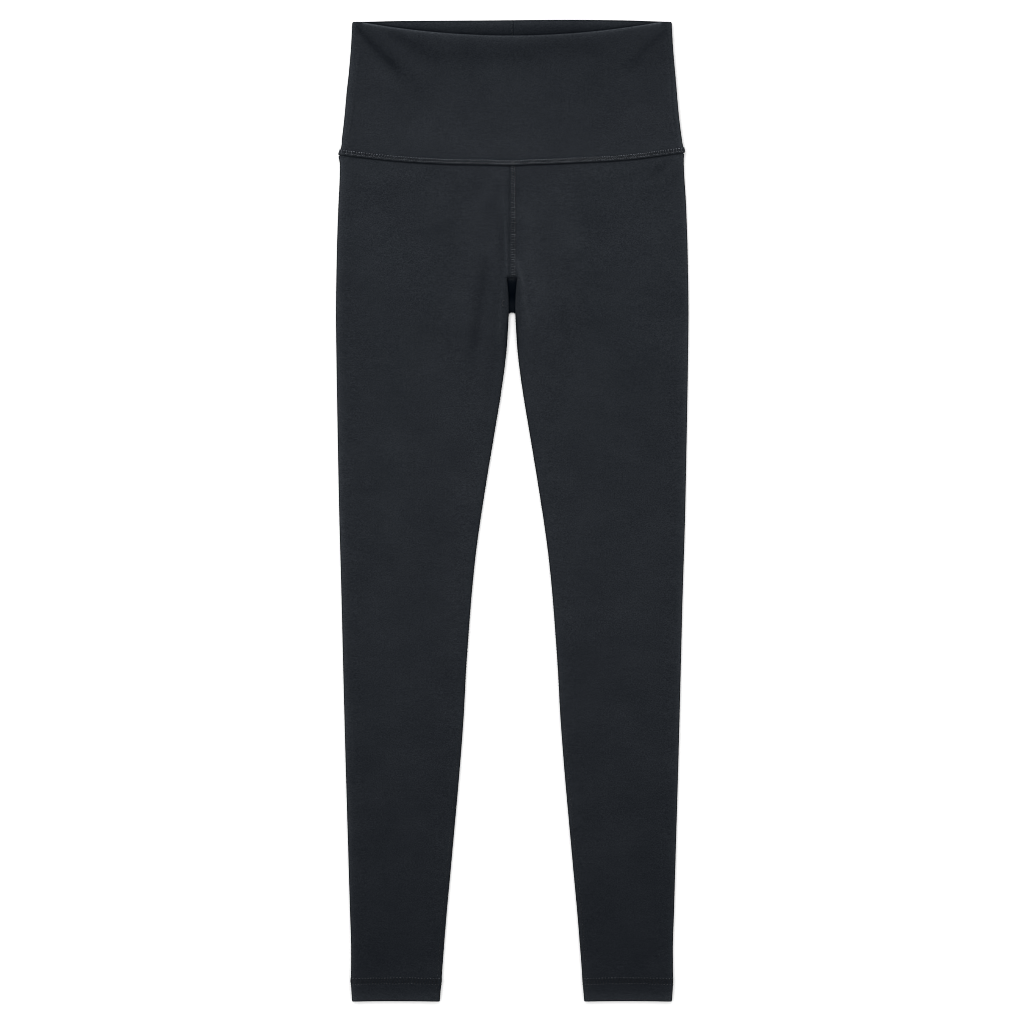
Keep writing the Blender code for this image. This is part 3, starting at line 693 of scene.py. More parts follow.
def rungs(thread, first, second, ups, radius, slant, tone=1.0, before=0.0, past=0.0):
    """Threads that cross from one row's stitches to the other, and a little beyond the rows."""
    for k in range(STITCH_PARTS // 2, len(first) - STITCH_PARTS, STITCH_PARTS):
        start, end = first[k], second[min(k + slant, len(second) - 1)]
        start, end = start - (end - start) * before, end + (end - start) * past
        lift = radius * (RUNG_LIFT[0] + RUNG_LIFT[1] * np.sin(math.pi * RUNG_PLACES))
        line = start + (end - start) * RUNG_PLACES[:, None] + ups[k] * lift[:, None]
        thread.plain_tube(line, ups[k], radius, 5, tone * RNG.uniform(*RUNG_TONES))


# ------------------------------------------------------------------ materials

CLOTH_COLOUR = (0.0160, 0.0176, 0.0199)
CLOTH_DEPTH = (0.0, 0.0008, 0.0022)  # what stays of the colour where the tone is nil
NAP = 0.03
THREAD_COLOUR = (0.0430, 0.0470, 0.0530)


def add(tree, kind, inputs=None, **values):
    """A new node with its settings, and the values of some of its inputs by name."""
    node = tree.nodes.new(kind)
    for key, value in values.items():
        setattr(node, key, value)
    set_inputs(node, inputs or {})
    return node


def set_inputs(node, inputs):
    for name, value in inputs.items():
        node.inputs[name].default_value = value


def noise(tree, place, stretch, detail, low, high):
    """A grey noise in object space, drawn out by stretch and spread from low to high."""
    mapping = add(tree, "ShaderNodeMapping", {"Scale": stretch})
    tree.links.new(place, mapping.inputs["Vector"])
    source = add(tree, "ShaderNodeTexNoise", {"Scale": 1.0, "Detail": detail, "Roughness": 0.55})
    tree.links.new(mapping.outputs["Vector"], source.inputs["Vector"])
    spread = add(tree, "ShaderNodeMapRange",
                 {"From Min": 0.25, "From Max": 0.75, "To Min": low, "To Max": high}, clamp=False)
    tree.links.new(source.outputs["Fac"], spread.inputs["Value"])
    return spread.outputs["Result"]


def product(tree, *values):
    total = values[0]
    for value in values[1:]:
        node = add(tree, "ShaderNodeMath", operation="MULTIPLY")
        tree.links.new(total, node.inputs[0])
        tree.links.new(value, node.inputs[1])
        total = node.outputs[0]
    return total


def tinted(tree, colour, value, depth=(0.0, 0.0, 0.0)):
    """The colour, scaled at each place by value, over a least colour."""
    node = add(tree, "ShaderNodeVectorMath", operation="MULTIPLY_ADD")
    tree.links.new(value, node.inputs[0])
    node.inputs[1].default_value = colour
    node.inputs[2].default_value = depth
    return node.outputs[0]


def new_material(name):
    material = bpy.data.materials.new(name)
    material.use_nodes = True
    tree = material.node_tree
    place = add(tree, "ShaderNodeTexCoord").outputs["Object"]
    return material, tree, tree.nodes["Principled BSDF"], place


def knit_material(name, nap):
    """Brushed jersey: soft clouds, a fine crosswise grain and loose fibre, with a slight nap."""
    material, tree, shader, place = new_material(name)
    clouds = noise(tree, place, (19, 25, 20), 3.0, 0.88, 1.12)
    streaks = noise(tree, place, (110, 420, 200), 2.0, 0.92, 1.08)
    grain = noise(tree, place, (620, 1150, 735), 2.0, 0.63, 1.37)
    fibre = noise(tree, place, (1200, 1900, 1400), 1.0, 0.72, 1.28)
    tone = add(tree, "ShaderNodeAttribute", attribute_name="tone").outputs["Fac"]
    value = product(tree, tone, clouds, streaks, grain, fibre)
    tree.links.new(tinted(tree, CLOTH_COLOUR, value, CLOTH_DEPTH), shader.inputs["Base Color"])
    rough = noise(tree, place, (300, 600, 400), 2.0, 0.84, 0.96)
    tree.links.new(rough, shader.inputs["Roughness"])
    bump = add(tree, "ShaderNodeBump", {"Strength": 0.35, "Distance": 0.12 * MM})
    tree.links.new(product(tree, grain, fibre), bump.inputs["Height"])
    tree.links.new(bump.outputs["Normal"], shader.inputs["Normal"])
    set_inputs(shader, {"Specular IOR Level": 0.5 * nap, "Sheen Weight": nap, "Sheen Roughness": 0.40,
                        "Sheen Tint": (0.70, 0.85, 1.0, 1.0)})
    return material


def thread_material():
    """Spun sewing thread, a little lighter and smoother than the cloth."""
    material, tree, shader, place = new_material("charcoal_thread")
    twist = noise(tree, place, (1500, 1500, 1500), 1.0, 0.80, 1.20)
    tone = add(tree, "ShaderNodeAttribute", attribute_name="tone").outputs["Fac"]
    tree.links.new(tinted(tree, THREAD_COLOUR, product(tree, tone, twist)), shader.inputs["Base Color"])
    rough = noise(tree, place, (900, 900, 900), 1.0, 0.60, 0.76)
    tree.links.new(rough, shader.inputs["Roughness"])
    set_inputs(shader, {"Specular IOR Level": 0.06, "Sheen Weight": 0.03, "Sheen Roughness": 0.40})
    return material


# ------------------------------------------------------------------ legs

Station = namedtuple("Station", "level outer inner fold middle inside settle wall under open seam")


def head_opening(level):
    """0 above the slot's head and 1 below it, along its square, round-cornered outline."""
    deep = np.clip((SLOT_HEAD - level) / SLOT_HEAD_HEIGHT, 0.0, 1.0)
    return (1 - (1 - deep) ** SLOT_SQUARENESS) ** (1 / SLOT_SQUARENESS)


def station(level, side):
    lie = [smooth(LEG_LIE, column, level) for column in LEG_LIE[0]._fields[1:]]
    offset = smooth(INSEAM, "offset", level)
    seam = math.pi / 2 if offset < 1e-5 else math.pi - math.asin(1 - offset / ROLL_TOP)
    bump = HEM_BUMP * bell((level - (HEM_ROWS[0] + HEM_ROWS[1]) / 2) / (HEM_ROWS[0] - HEM_ROWS[1]))
    outer = smooth(SIDE_OUTLINE, "outer", level) + bump + fullness(side, level)
    inner = smooth(INNER_FOLD, "inner", level) - bump
    return Station(level, outer, inner, *lie, head_opening(level), seam)


def fold_points(edge, top, under, wall, turns, way):
    """Outer and inner points round a fold. A turn runs from 0 underneath to pi on the front."""
    half = (top - under) / 2
    reach = np.where(turns < math.pi / 2, ROLL_UNDER, ROLL_TOP)
    outer = (edge - way * reach * (1 - np.sin(turns)), under + half - half * np.cos(turns))
    inner = (edge - way * (reach - (reach - wall) * np.sin(turns)),
             under + half - (half - wall) * np.cos(turns))
    return outer, inner


def leg_top(s, x, swell, creases):
    """Height of a leg's upper face."""
    start = s.open * (s.inner + ROLL_TOP)
    end = s.outer - ROLL_TOP
    at_fold = bell((end - x) / FOLD_RELAX)
    at_inside = bell((x - start) / s.settle)
    clear = ease((end - x) / FOLD_RELAX) * ease((x - start * 0.6) / (FOLD_RELAX / 3))
    relief = crease_height(creases, x, s.level) + swell(x, s.level)
    return s.middle + (s.fold - s.middle) * at_fold + (s.inside - s.middle) * at_inside + clear * relief


def centre_relief(x):
    """The sewn centre-front band: a shallow groove on its right, and a low raised strip."""
    strip = ease((x - CENTRE_GROOVE) / CENTRE_RISE_START) * ease((CENTRE_STRIP_END - x) / CENTRE_RISE_END)
    return CENTRE_RISE * strip - CENTRE_DEPTH * bell((x - CENTRE_GROOVE) / CENTRE_SHADE_WIDTH)


def leg_section(s, side, swell, creases):
    """Outer and inner (x, z) arrays from the front edge round to the back edge."""
    turns = np.linspace(s.seam, math.pi, STRIP_TURN)
    low_fold, low_fold_in = fold_points(s.inner, s.inside, s.under, s.wall, turns, -1)
    ridge = INSEAM_RIDGE * bell((turns - s.seam) / INSEAM_TURN) * (s.level < CROTCH)
    low_x = s.inner + ROLL_TOP + STRIP_REACH * np.arange(1, STRIP_TOP + 1) / STRIP_TOP
    low_z = leg_top(s, low_x, swell, creases)
    outer_x = np.concatenate([low_fold[0], low_x])
    outer_z = np.concatenate([low_fold[1] + ridge, low_z])
    inner_x = np.concatenate([low_fold_in[0], low_x])
    inner_z = np.concatenate([low_fold_in[1], low_z - s.wall])
    if s.open < 1:
        high_x = np.concatenate([np.linspace(CENTRE_GAP, CENTRE_FACE, STRIP_TURN),
                                 np.linspace(CENTRE_FACE, low_x[-1], STRIP_TOP + 1)[1:]])
        high_z = leg_top(s, high_x, swell, creases) + centre_relief(side * high_x)
        turned = bell(np.clip(s.level - SLOT_HEAD, 0, 1) / HEAD_FADE)
        high_z = high_z - HEAD_DROP * turned * (1 - np.clip(high_x / HEAD_HALF, 0, 1) ** 2)
        outer_x, outer_z = mix(high_x, outer_x, s.open), mix(high_z, outer_z, s.open)
        inner_x = mix(high_x, inner_x, s.open)
        inner_z = mix(high_z - s.wall, inner_z, s.open)
    drift = np.linspace(0, 1, FRONT_PARTS + 1)[1:-1] ** COLUMN_DRIFT
    front_x = mix(outer_x[-1], s.outer - ROLL_TOP, drift)
    front_z = leg_top(s, front_x, swell, creases)
    turns = np.concatenate([np.linspace(math.pi, math.pi / 2, FOLD_TOP_PARTS),
                            np.linspace(math.pi / 2, 0, FOLD_UNDER_PARTS + 1)[1:]])
    fold, fold_in = fold_points(s.outer, s.fold, s.under, s.wall, turns, 1)
    curled = 1 - ease((s.level - CROTCH) / (CROTCH_OPEN - CROTCH))
    turns = np.linspace(0, s.seam, EDGE_PARTS)
    curl, curl_in = fold_points(s.inner, s.inside, s.under, s.wall, turns, -1)
    curl_z = curl[1] + INSEAM_RIDGE * bell((turns - s.seam) / INSEAM_TURN)
    edge = smooth(LOWER_LEAF, "half", s.level) if s.level <= GUSSET_TIP else CENTRE_GAP
    flat_x = np.linspace(edge + EDGE_REACH, edge, EDGE_PARTS)
    edge_x, edge_in_x = mix(flat_x, curl[0], curled), mix(flat_x, curl_in[0], curled)
    flat_z = s.under + SEAM_ROOM * ease((edge + ROOM_REACH - flat_x) / ROOM_FADE)
    edge_z = mix(flat_z, curl_z, curled)
    edge_in_z = mix(flat_z + s.wall, curl_in[1], curled)
    back_end = s.outer - ROLL_UNDER
    back_x = np.linspace(back_end, edge_x[0], BACK_PARTS + 1)[1:-1]
    clear = ease((back_end - back_x) / FOLD_RELAX) * ease((back_x - edge_x[0]) / FOLD_RELAX)
    back_z = s.under + clear * np.maximum(crease_height(BACK_CREASES, back_x, s.level), 0.0)
    outer = (np.concatenate([outer_x, front_x, fold[0], back_x, edge_x]),
             np.concatenate([outer_z, front_z, fold[1], back_z, edge_z]))
    inner = (np.concatenate([inner_x, front_x, fold_in[0], back_x, edge_in_x]),
             np.concatenate([inner_z, front_z - s.wall, fold_in[1], back_z + s.wall, edge_in_z]))
    return outer, inner


def leg_tone(s, side, x, creases):
    """How light a leg is at each point of its section, with its painted light and shade."""
    on_front = np.arange(len(x)) < FRONT_COLUMNS
    tone = np.full(len(x), smooth(LEG_FALLOFF_TONE, "tone", s.level))
    tone = tone * edge_highlight_and_shade(s.outer - x, SIDE_FOLD_HIGHLIGHTS[side])
    in_slot = ease((s.level - CROTCH_OPEN + SLOT_START) / SLOT_START) * s.open
    rim_shade = RIM_SHADE * (1 - in_slot)
    inner = mix(edge_highlight_and_shade(x - s.inner, INNER_FOLD_LIGHT_LOW[side], rim_shade),
                edge_highlight_and_shade(x - s.inner, INNER_FOLD_LIGHT_HIGH[side], rim_shade),
                ease((s.level - INNER_FOLD_LIGHT_CHANGE[0]) / INNER_FOLD_LIGHT_CHANGE[1]))
    tone = tone * mix(1.0, inner, s.open)
    at_thigh = (ease((s.level - THIGH_GLOW_START[0]) / THIGH_GLOW_START[1])
                * ease((THIGH_GLOW_TOP[side] - s.level) / THIGH_GLOW_TOP_FADE))
    from_inside = np.maximum(x - s.inner, 0)
    tone = tone * (1 + THIGH_GLOW * at_thigh * np.exp(-from_inside / THIGH_GLOW_WIDTH))
    at_crotch = bell((s.level - CROTCH_SHADE[0]) / CROTCH_SHADE[1])
    shade = CROTCH_FOLDS[side].gain * np.exp(-from_inside / CROTCH_FOLDS[side].width)
    tone = tone * (1 + shade * at_crotch * (s.level < CROTCH_OPEN))
    tone = tone * (1 - HEM_SHADE * bell(max(s.level, 0.0) / HEM_SHADE_WIDTH))
    tone = tone * relief_shading(crease_height(creases, x, s.level) * on_front)
    groove = bell(max(SIDE_SEAM_LEVEL - s.level - SEAM_GROOVE, 0.0) / GROOVE_SOFT)
    open_groove = mix(GROOVE_SIDE, 1.0, ease((s.outer - x) / GROOVE_SIDE_WIDTH))
    tone = tone * (1 - GROOVE_PAINTED_SHADE * groove * open_groove)
    if s.open < 1:
        near = (1 - s.open) * on_front
        for place, depth in ((CENTRE_GROOVE, CENTRE_SHADE), (CENTRE_END, CENTRE_END_SHADE)):
            tone = tone * (1 - depth * near * bell((side * x - place) / CENTRE_SHADE_WIDTH))
        turned = bell(np.clip(s.level - SLOT_HEAD, 0, 1) / HEAD_SHADE_FADE)
        tone = tone * (1 - HEAD_SHADE * near * turned * (x < HEAD_HALF))
    between = (ease((s.level - HEM_ROWS[1]) / HEM_ROW_FADE)
               * ease((HEM_ROWS[0] - s.level) / HEM_ROW_FADE))
    tone = tone * (1 - HEM_ROWS_SHADE * between)
    inside = on_front * (1 - ease((x - s.inner) / SLOT_SHADE_WIDTH))
    return tone * (1 - SLOT_SHADE * inside * in_slot)


def leg_level(s, x, on_front):
    """A section's own level at x: the upper sections follow the waist seam's arc, and those at the
    hem's stitch rows droop a little at the sides."""
    dip = np.where(on_front, SEAM_DIP_FRONT, SEAM_DIP_BACK)
    follow = ease((s.level - GUSSET_TIP) / (SIDE_SEAM_LEVEL - LAP - SEAM_FOLLOW - GUSSET_TIP))
    across = (2 * np.abs(x) - s.outer - s.inner) / (s.outer - s.inner)
    droop = np.square(across) * (HEM_BOW * bell((s.level - HEM_ROWS[1]) / HEM_BOW_REACH)
                                 + HEM_SAG * bell(s.level / HEM_SAG_REACH))
    return s.level + follow * (seam_level(x, dip) - SIDE_SEAM_LEVEL) - droop * (s.level < HEM_ZONE)


def leg_grids(side, levels):
    """Outer and inner points and tones of a leg."""
    swell = waves(9, 0.120, 0.045, 0.16 * MM)
    creases = LEG_CREASES[side]
    outer_rows, inner_rows, tones = [], [], []
    for level in levels:
        s = station(level, side)
        outer, inner = leg_section(s, side, swell, creases)
        on_front = np.arange(len(outer[0])) < FRONT_COLUMNS
        y = leg_level(s, side * outer[0], on_front) - LENGTH / 2
        for rows, (x, z) in ((outer_rows, outer), (inner_rows, inner)):
            rows.append(np.stack([side * x, y, z], axis=-1))
        tones.append(leg_tone(s, side, outer[0], creases))
    return np.array(outer_rows), np.array(inner_rows), np.array(tones)


# ------------------------------------------------------------------ waistband

def front_edge_level(x):
    """The front waist edge: a shallow arc that runs out level at the corners."""
    along = x / FRONT_EDGE_SPAN
    arc = FRONT_EDGE_LEVEL + FRONT_EDGE_RISE * np.square(along) + FRONT_EDGE_TILT * along
    apart = np.abs(arc - CORNER_LEVEL)
    return np.minimum(arc, CORNER_LEVEL) - FRONT_EDGE_SOFT * np.log1p(np.exp(-apart / FRONT_EDGE_SOFT))


def back_edge_level(x):
    """The back waist edge rises a little between its corners."""
    return smooth(BACK_EDGE, "level", x)


def band_level(x, distance, dip, top_level):
    """The level of a place that lies some way above the waist seam at the side."""
    low = seam_level(x, dip)
    t = np.clip((distance - BAND_NEAR) / (BAND_HEIGHT - BAND_NEAR), 0, 1)
    return low + np.minimum(distance, BAND_NEAR) + t * (top_level(x) - low - BAND_NEAR)


BandRow = namedtuple("BandRow", "distance side wall under rise drop to_top")


def band_row(distance):
    """The waistband some way above the waist seam: where its side lies, its wall, the height of its
    underside, how much it rises at the lap and drops toward its folded edge, and how far below its
    top row it is."""
    below_top = BAND_HEIGHT - distance
    in_corner = max(CORNER_RADIUS - below_top, 0.0)
    cut = CORNER_RADIUS - math.sqrt(CORNER_RADIUS ** 2 - in_corner ** 2)
    side = smooth(BAND_OUTLINE, "outer", SIDE_SEAM_LEVEL + distance) - cut
    wall = mix(LAP_WALL, BAND_WALL, ease(distance / LAP_WALL_FADE))
    on_lap = ease((LAP_TOP + LAP_FADE - distance) / LAP_FADE)
    rolled = max(0.0, 1 - below_top / EDGE_ROLL)
    return BandRow(distance, side, wall, LAP_ROOM * on_lap, LAP_RISE * on_lap,
                   EDGE_DROP * rolled * rolled, BAND_HEIGHT - BAND_WALL / 2 - distance)


def band_fold(row, turns):
    return fold_points(row.side, BAND_FOLD + row.rise - row.drop, row.under, row.wall, turns, 1)


def band_points(row, x, y, z):
    return np.stack([fill_out(x, SIDE_SEAM_LEVEL + row.distance), y, z], axis=-1)


def press_step(x, level):
    """The pressed side seam allowances: their height, their fade and how far x lies past them."""
    past = np.abs(x) - np.where(x > 0, smooth(PRESS[1], "x", level), smooth(PRESS[-1], "x", level))
    fade = (ease((level - PRESS_START[0]) / PRESS_START[1])
            * ease((PRESS_END[0] - level) / PRESS_END[1]))
    return PRESS_HEIGHT * fade * ease(past / PRESS_STEP), fade, past


def half_columns(end):
    """Places from the middle of the waistband to the start of its side fold."""
    middle, face, side = BAND_PARTS
    inner, outer = BAND_MIDDLE_WIDTH, end - BAND_SIDE_WIDTH
    return np.concatenate([np.linspace(0, inner, middle + 1), np.linspace(inner, outer, face + 1)[1:],
                           np.linspace(outer, end, side + 1)[1:]])


def front_band_tone(row, x, y, middle):
    """How light the front band is across one row, with its painted light and shade, given the painted
    shading of its relief between its folds.
    """
    pad = np.ones(QUARTER_PARTS)
    from_side = row.side - np.abs(x)
    tone = np.concatenate([pad, middle, pad]) * smooth(BAND_TONE, "tone", y + LENGTH / 2)
    tone = tone * np.where(x > 0, edge_highlight_and_shade(from_side, SIDE_FOLD_HIGHLIGHTS[1]), edge_highlight_and_shade(from_side, SIDE_FOLD_HIGHLIGHTS[-1]))
    # painted highlight along the front waist edge, and a broader one below it
    outward = np.square(x / FRONT_EDGE_SPAN)
    corner = 1 + np.where(x < 0, *EDGE_HIGHLIGHT_CORNERS) * outward
    glow = EDGE_GLOW * (1 - EDGE_GLOW_CORNER * np.minimum(outward, 1.0))
    top_highlight = ease((EDGE_HIGHLIGHT_END - np.abs(x)) / EDGE_HIGHLIGHT_FADE) * (
        EDGE_HIGHLIGHT * corner * math.exp(-row.to_top / EDGE_HIGHLIGHT_WIDTH)
        + glow * math.exp(-row.to_top / EDGE_GLOW_WIDTH))
    above = 1 - ABOVE_SHADE * bell((row.distance - LAP_TOP - ABOVE_SHADE_PLACE) / ABOVE_SHADE_WIDTH)
    in_seam = 1 - SEAM_SHADE * ease((LAP_TOP - row.distance) / SEAM_SHADE_FADE)
    for place in (UPPER_ROW, LOWER_ROW):
        in_seam *= 1 - ROW_SHADE * bell((row.distance - place) / ROW_SHADE_WIDTH)
    return tone * (1 + top_highlight) * above * in_seam


def front_band_grids():
    """Outer and inner points and tones of the front of the waistband."""
    swell = waves(8, 0.130, 0.050, 0.14 * MM)
    outer_rows, inner_rows, tones = [], [], []
    turns = np.linspace(math.pi, math.pi / 2 + QUARTER_END, QUARTER_PARTS + 1)[1:]
    for row in map(band_row, runs(BAND_RUNS)):
        end = row.side - ROLL_TOP
        half = half_columns(end)
        x = np.concatenate([-half[:0:-1], half])
        level = band_level(x, row.distance, SEAM_DIP_FRONT, front_edge_level)
        to_fold = end - np.abs(x)
        relief = crease_height(BAND_CREASES, x, level)
        step, step_fade, past = press_step(x, level)
        z = (BAND_MIDDLE + (BAND_FOLD - BAND_MIDDLE) * bell(to_fold / FOLD_RELAX)
             + ease(to_fold / FOLD_RELAX) * (relief + swell(x, level))
             + row.rise - row.drop + step * ease(to_fold / PRESS_SIDE))
        fold, fold_in = band_fold(row, turns)
        outer_x = np.concatenate([-fold[0][::-1], x, fold[0]])
        inner_x = np.concatenate([-fold_in[0][::-1], x, fold_in[0]])
        y = band_level(outer_x, row.distance, SEAM_DIP_FRONT, front_edge_level) - LENGTH / 2
        outer_z = np.concatenate([fold[1][::-1], z, fold[1]])
        inner_z = np.concatenate([fold_in[1][::-1], z - row.wall, fold_in[1]])
        outer_rows.append(band_points(row, outer_x, y, outer_z))
        inner_rows.append(band_points(row, inner_x, y, inner_z))
        away = np.where(x > 0, -PRESS_STEP, PRESS_STEP)
        press = (PRESS_SHADE[0] * bell((past + away) / PRESS_SHADE[1])
                 - PRESS_LIGHT[0] * bell((past - away) / PRESS_LIGHT[1]))
        tones.append(front_band_tone(row, outer_x, y, relief_shading(relief) - step_fade * press))
    return np.array(outer_rows), np.array(inner_rows), np.array(tones)


def facing_tone(row, x, y, side):
    """How light the back band's inner face is across one row, where it shows above the front, with its
    painted shade and light.
    """
    above = y + LENGTH / 2 - front_edge_level(x)
    contact_shade = 1 - FACING_CONTACT_SHADE * np.exp(-np.maximum(above, 0) / FACING_CONTACT_SHADE_WIDTH)
    tone = FACING_PAINTED_SHADE * contact_shade * (1 + FACING_GLOW * bell(row.to_top / FACING_GLOW_WIDTH))
    rim = FACING_RIM_SHADE[0] + FACING_RIM_SHADE[1] * np.minimum(np.square(x / FRONT_EDGE_SPAN), 1.0)
    tone = tone * (1 - rim * bell(row.to_top / FACING_RIM_SHADE_WIDTH))
    from_seam = side * x - BACK_SEAM_X
    dark, light = [gain * bell((from_seam - place) / width)
                   for gain, place, width in (BACK_SEAM_DARK, BACK_SEAM_LIGHT)]
    return tone * (1 - dark + light)


def back_band_grids(side):
    """Outer and inner points, tones and inner tones of one half of the back of the waistband."""
    swell = waves(8, 0.130, 0.050, 0.10 * MM)
    outer_rows, inner_rows, tones, inner_tones = [], [], [], []
    turns = np.linspace(0, math.pi / 2 - QUARTER_END, QUARTER_PARTS + 1)[1:]
    for row in map(band_row, runs(BAND_RUNS)):
        end = row.side - ROLL_UNDER
        x = np.maximum(half_columns(end), CENTRE_GAP)
        fold, fold_in = band_fold(row, turns)
        outer_x, inner_x = np.concatenate([x, fold[0]]), np.concatenate([x, fold_in[0]])
        all_levels = band_level(side * outer_x, row.distance, SEAM_DIP_BACK, back_edge_level)
        level, y = all_levels[:len(x)], all_levels - LENGTH / 2
        hidden = level < front_edge_level(x) - FACING_HIDDEN
        relief = np.abs(swell(side * x, level)) * ease((end - x) / FOLD_RELAX) * ~hidden
        outer_z = np.concatenate([np.full(len(x), row.under), fold[1]])
        inner_z = np.concatenate([row.under + row.wall + relief - 0.5 * row.drop, fold_in[1]])
        outer_rows.append(band_points(row, side * outer_x, y, outer_z))
        inner_rows.append(band_points(row, side * inner_x, y, inner_z))
        from_side = edge_highlight_and_shade(row.side - outer_x, SIDE_FOLD_HIGHLIGHTS[side])
        tones.append(from_side * smooth(BAND_TONE, "tone", y + LENGTH / 2))
        inner_tones.append(facing_tone(row, outer_x, y, side))
    return np.array(outer_rows), np.array(inner_rows), np.array(tones), np.array(inner_tones)


# ------------------------------------------------------------------ gusset

def gusset_path():
    """(level, height, half width) from the front end, round the fold, to the tip."""
    low, high = CLOTH / 2 + SEAM_ROOM, UPPER_LEAF[0].middle
    radius = (high - low) / 2
    upper = [(level, smooth(UPPER_LEAF, "middle", level), smooth(UPPER_LEAF, "half", level))
             for level in np.arange(UPPER_LEAF[-1].level, GUSSET_FOLD, -GUSSET_STEP)]
    turn = [(GUSSET_FOLD - radius * math.sin(a), low + radius * (1 + math.cos(a)), UPPER_LEAF[0].half)
            for a in np.linspace(0, math.pi, GUSSET_TURN)[:-1]]
    lower = [(level, low, smooth(LOWER_LEAF, "half", level))
             for level in np.arange(GUSSET_FOLD, GUSSET_TIP, GUSSET_STEP)]
    return upper + turn + lower


def gusset_grids():
    """Outer and inner points and tones of the gusset."""
    path = np.array(gusset_path())
    along = np.gradient(path[:, :2], axis=0)
    normal = unit(np.stack([along[:, 1], -along[:, 0]], axis=-1))
    across = np.linspace(-1, 1, GUSSET_COLUMNS)
    sag = GUSSET_SAG * (1 - across ** 2)
    outer, inner = [], []
    for (level, height, half), (out_level, out_z) in zip(path, normal):
        for rows, way in ((outer, 1), (inner, -1)):
            shift = way * CLOTH / 2
            z = height + shift * out_z + (0 if height < CLOTH + SEAM_ROOM else -sag)
            droop = GUSSET_DROOP * bell((level - GUSSET_FOLD) / GUSSET_DROOP_REACH) * across ** 4
            y = level + shift * out_level - LENGTH / 2 - droop
            rows.append(np.stack([half * across, y, z + np.zeros(GUSSET_COLUMNS)], axis=-1))
    upper = path[:, 1] > CLOTH + SEAM_ROOM
    shade = np.where(upper, smooth(GUSSET_SHADE_TONE, "tone", path[:, 0]), GUSSET_UNDER_TONE)
    tones = np.repeat(shade[:, None], GUSSET_COLUMNS, axis=1)
    tones = tones * np.where(upper[:, None], 1 - GUSSET_EDGE_SHADE * across[None] ** 2, 1.0)
    return np.array(outer), np.array(inner), tones


# ------------------------------------------------------------------ sewing

STITCH = 2.6 * MM
THREAD = 0.48 * MM
RUNG = 0.30 * MM
HEM_STITCH = 3.1 * MM
SMALL_STITCH = 2.5 * MM
UP = (0.0, 0.0, 1.0)
CROSSINGS = np.linspace(-0.6 * MM, 1.6 * MM, 4)
CROSSING_SLANT = 0.8 * MM
CROSSING_LIFT = 0.25 * MM
LOOP_LEVEL = 0.7185        # a loose loop of thread beside the slot
LOOP_X = -8.6 * MM
LOOP_RADIUS = 2.2 * MM
LOOP_POINTS = 14
FACING_POINTS = 24


def nearest(values, value):
    return int(np.argmin(np.abs(np.asarray(values) - value)))


def column_line(grid, normals, x, rows):
    """The line at one x down some rows of a leg's front or back, read off its grid."""
    points, ups = [], []
    for r in rows:
        row = grid[r]
        order = np.argsort(row[:, 0])
        points.append([x] + [np.interp(x, row[order, 0], row[order, k]) for k in (1, 2)])
        ups.append([np.interp(x, row[order, 0], normals[r][order, k]) for k in range(3)])
    return np.array(points), unit(np.array(ups))


def sew_waist(front, backs, material):
    """The flatlock band of the waist seam, and the pile of stitches where the centre-front seam
    runs into it."""
    thread = Thread()
    distances = runs(BAND_RUNS)
    upper, lower = nearest(distances, UPPER_ROW), nearest(distances, LOWER_ROW)
    for grid in [front] + backs:
        normals = turned_normals(grid, [upper], slice(None), 1 if grid is front else -1)
        first, ups = stitch_row(thread, grid[upper], normals[upper], STITCH, THREAD, tone=1.9)
        second, _ = stitch_row(thread, grid[lower], normals[lower], STITCH, THREAD * 0.9, tone=1.25)
        rungs(thread, first, second, ups, RUNG * 0.8, 3, tone=1.1, past=0.35)
    middle = front.shape[1] // 2
    for shift in CROSSINGS:
        start = front[lower, middle] + [shift, 0, 0]
        end = front[upper, middle] + [shift + CROSSING_SLANT, 0, 0]
        line = start + (end - start) * RUNG_PLACES[:, None] + [0, 0, CROSSING_LIFT]
        thread.plain_tube(line, UP, RUNG, 6, 1.1)
    return thread.object("waist_seam_thread", material)


def sew_centre(name, legs, levels, low, offsets, columns, up_way, material):
    """Two stitch rows and the threads between them, down the middle of the front or the back, from
    the waist seam to the level low."""
    thread = Thread()
    rows = [r for r, level in enumerate(levels) if low <= level <= SIDE_SEAM_LEVEL - LAP][::-1]
    lines = []
    for x in offsets:
        part = legs[0 if x > 0 else 1][:, columns]
        normals = turned_normals(part, rows, slice(None), up_way)
        points, ups = column_line(part, normals, x, rows)
        lines.append(stitch_row(thread, points, ups, SMALL_STITCH, THREAD * 0.75, tone=0.8, uneven=0.6))
    (first, ups), (second, _) = lines
    count = min(len(first), len(second))
    rungs(thread, first[:count], second[:count], ups, RUNG, 3, tone=1.15, before=0.30, past=0.40)
    if up_way > 0:
        sew_loop(thread, legs[1], levels)
    return thread.object(name, material)


def sew_loop(thread, grid, levels):
    """A loose loop of thread that has worked out beside the slot."""
    row = grid[nearest(levels, LOOP_LEVEL)]
    height = row[np.argmax(row[:, 2] * (np.abs(row[:, 0] - LOOP_X) < 1 * MM)), 2]
    turns = np.linspace(0.3 * math.pi, 1.65 * math.pi, LOOP_POINTS)
    line = np.stack([LOOP_X + 0.8 * LOOP_RADIUS * np.cos(turns),
                     LOOP_LEVEL - LENGTH / 2 + 1.3 * LOOP_RADIUS * np.sin(turns),
                     np.full(LOOP_POINTS, height + RUNG * 1.3)], axis=-1)
    thread.plain_tube(line, UP, RUNG, 6, 0.62)


def sew_inseam(name, grid, levels, material):
    """A fine row on each side of the inseam."""
    thread = Thread()
    rows = [r for r, level in enumerate(levels) if level < CROTCH - 1 * MM]
    normals = turned_normals(grid, rows, FRONT_COLUMNS // 2)
    for column in (2, -4):
        stitch_row(thread, grid[rows, column], normals[rows, column], HEM_STITCH, THREAD * 0.5, 5,
                   tone=0.50, uneven=0.5)
    return thread.object(name, material)


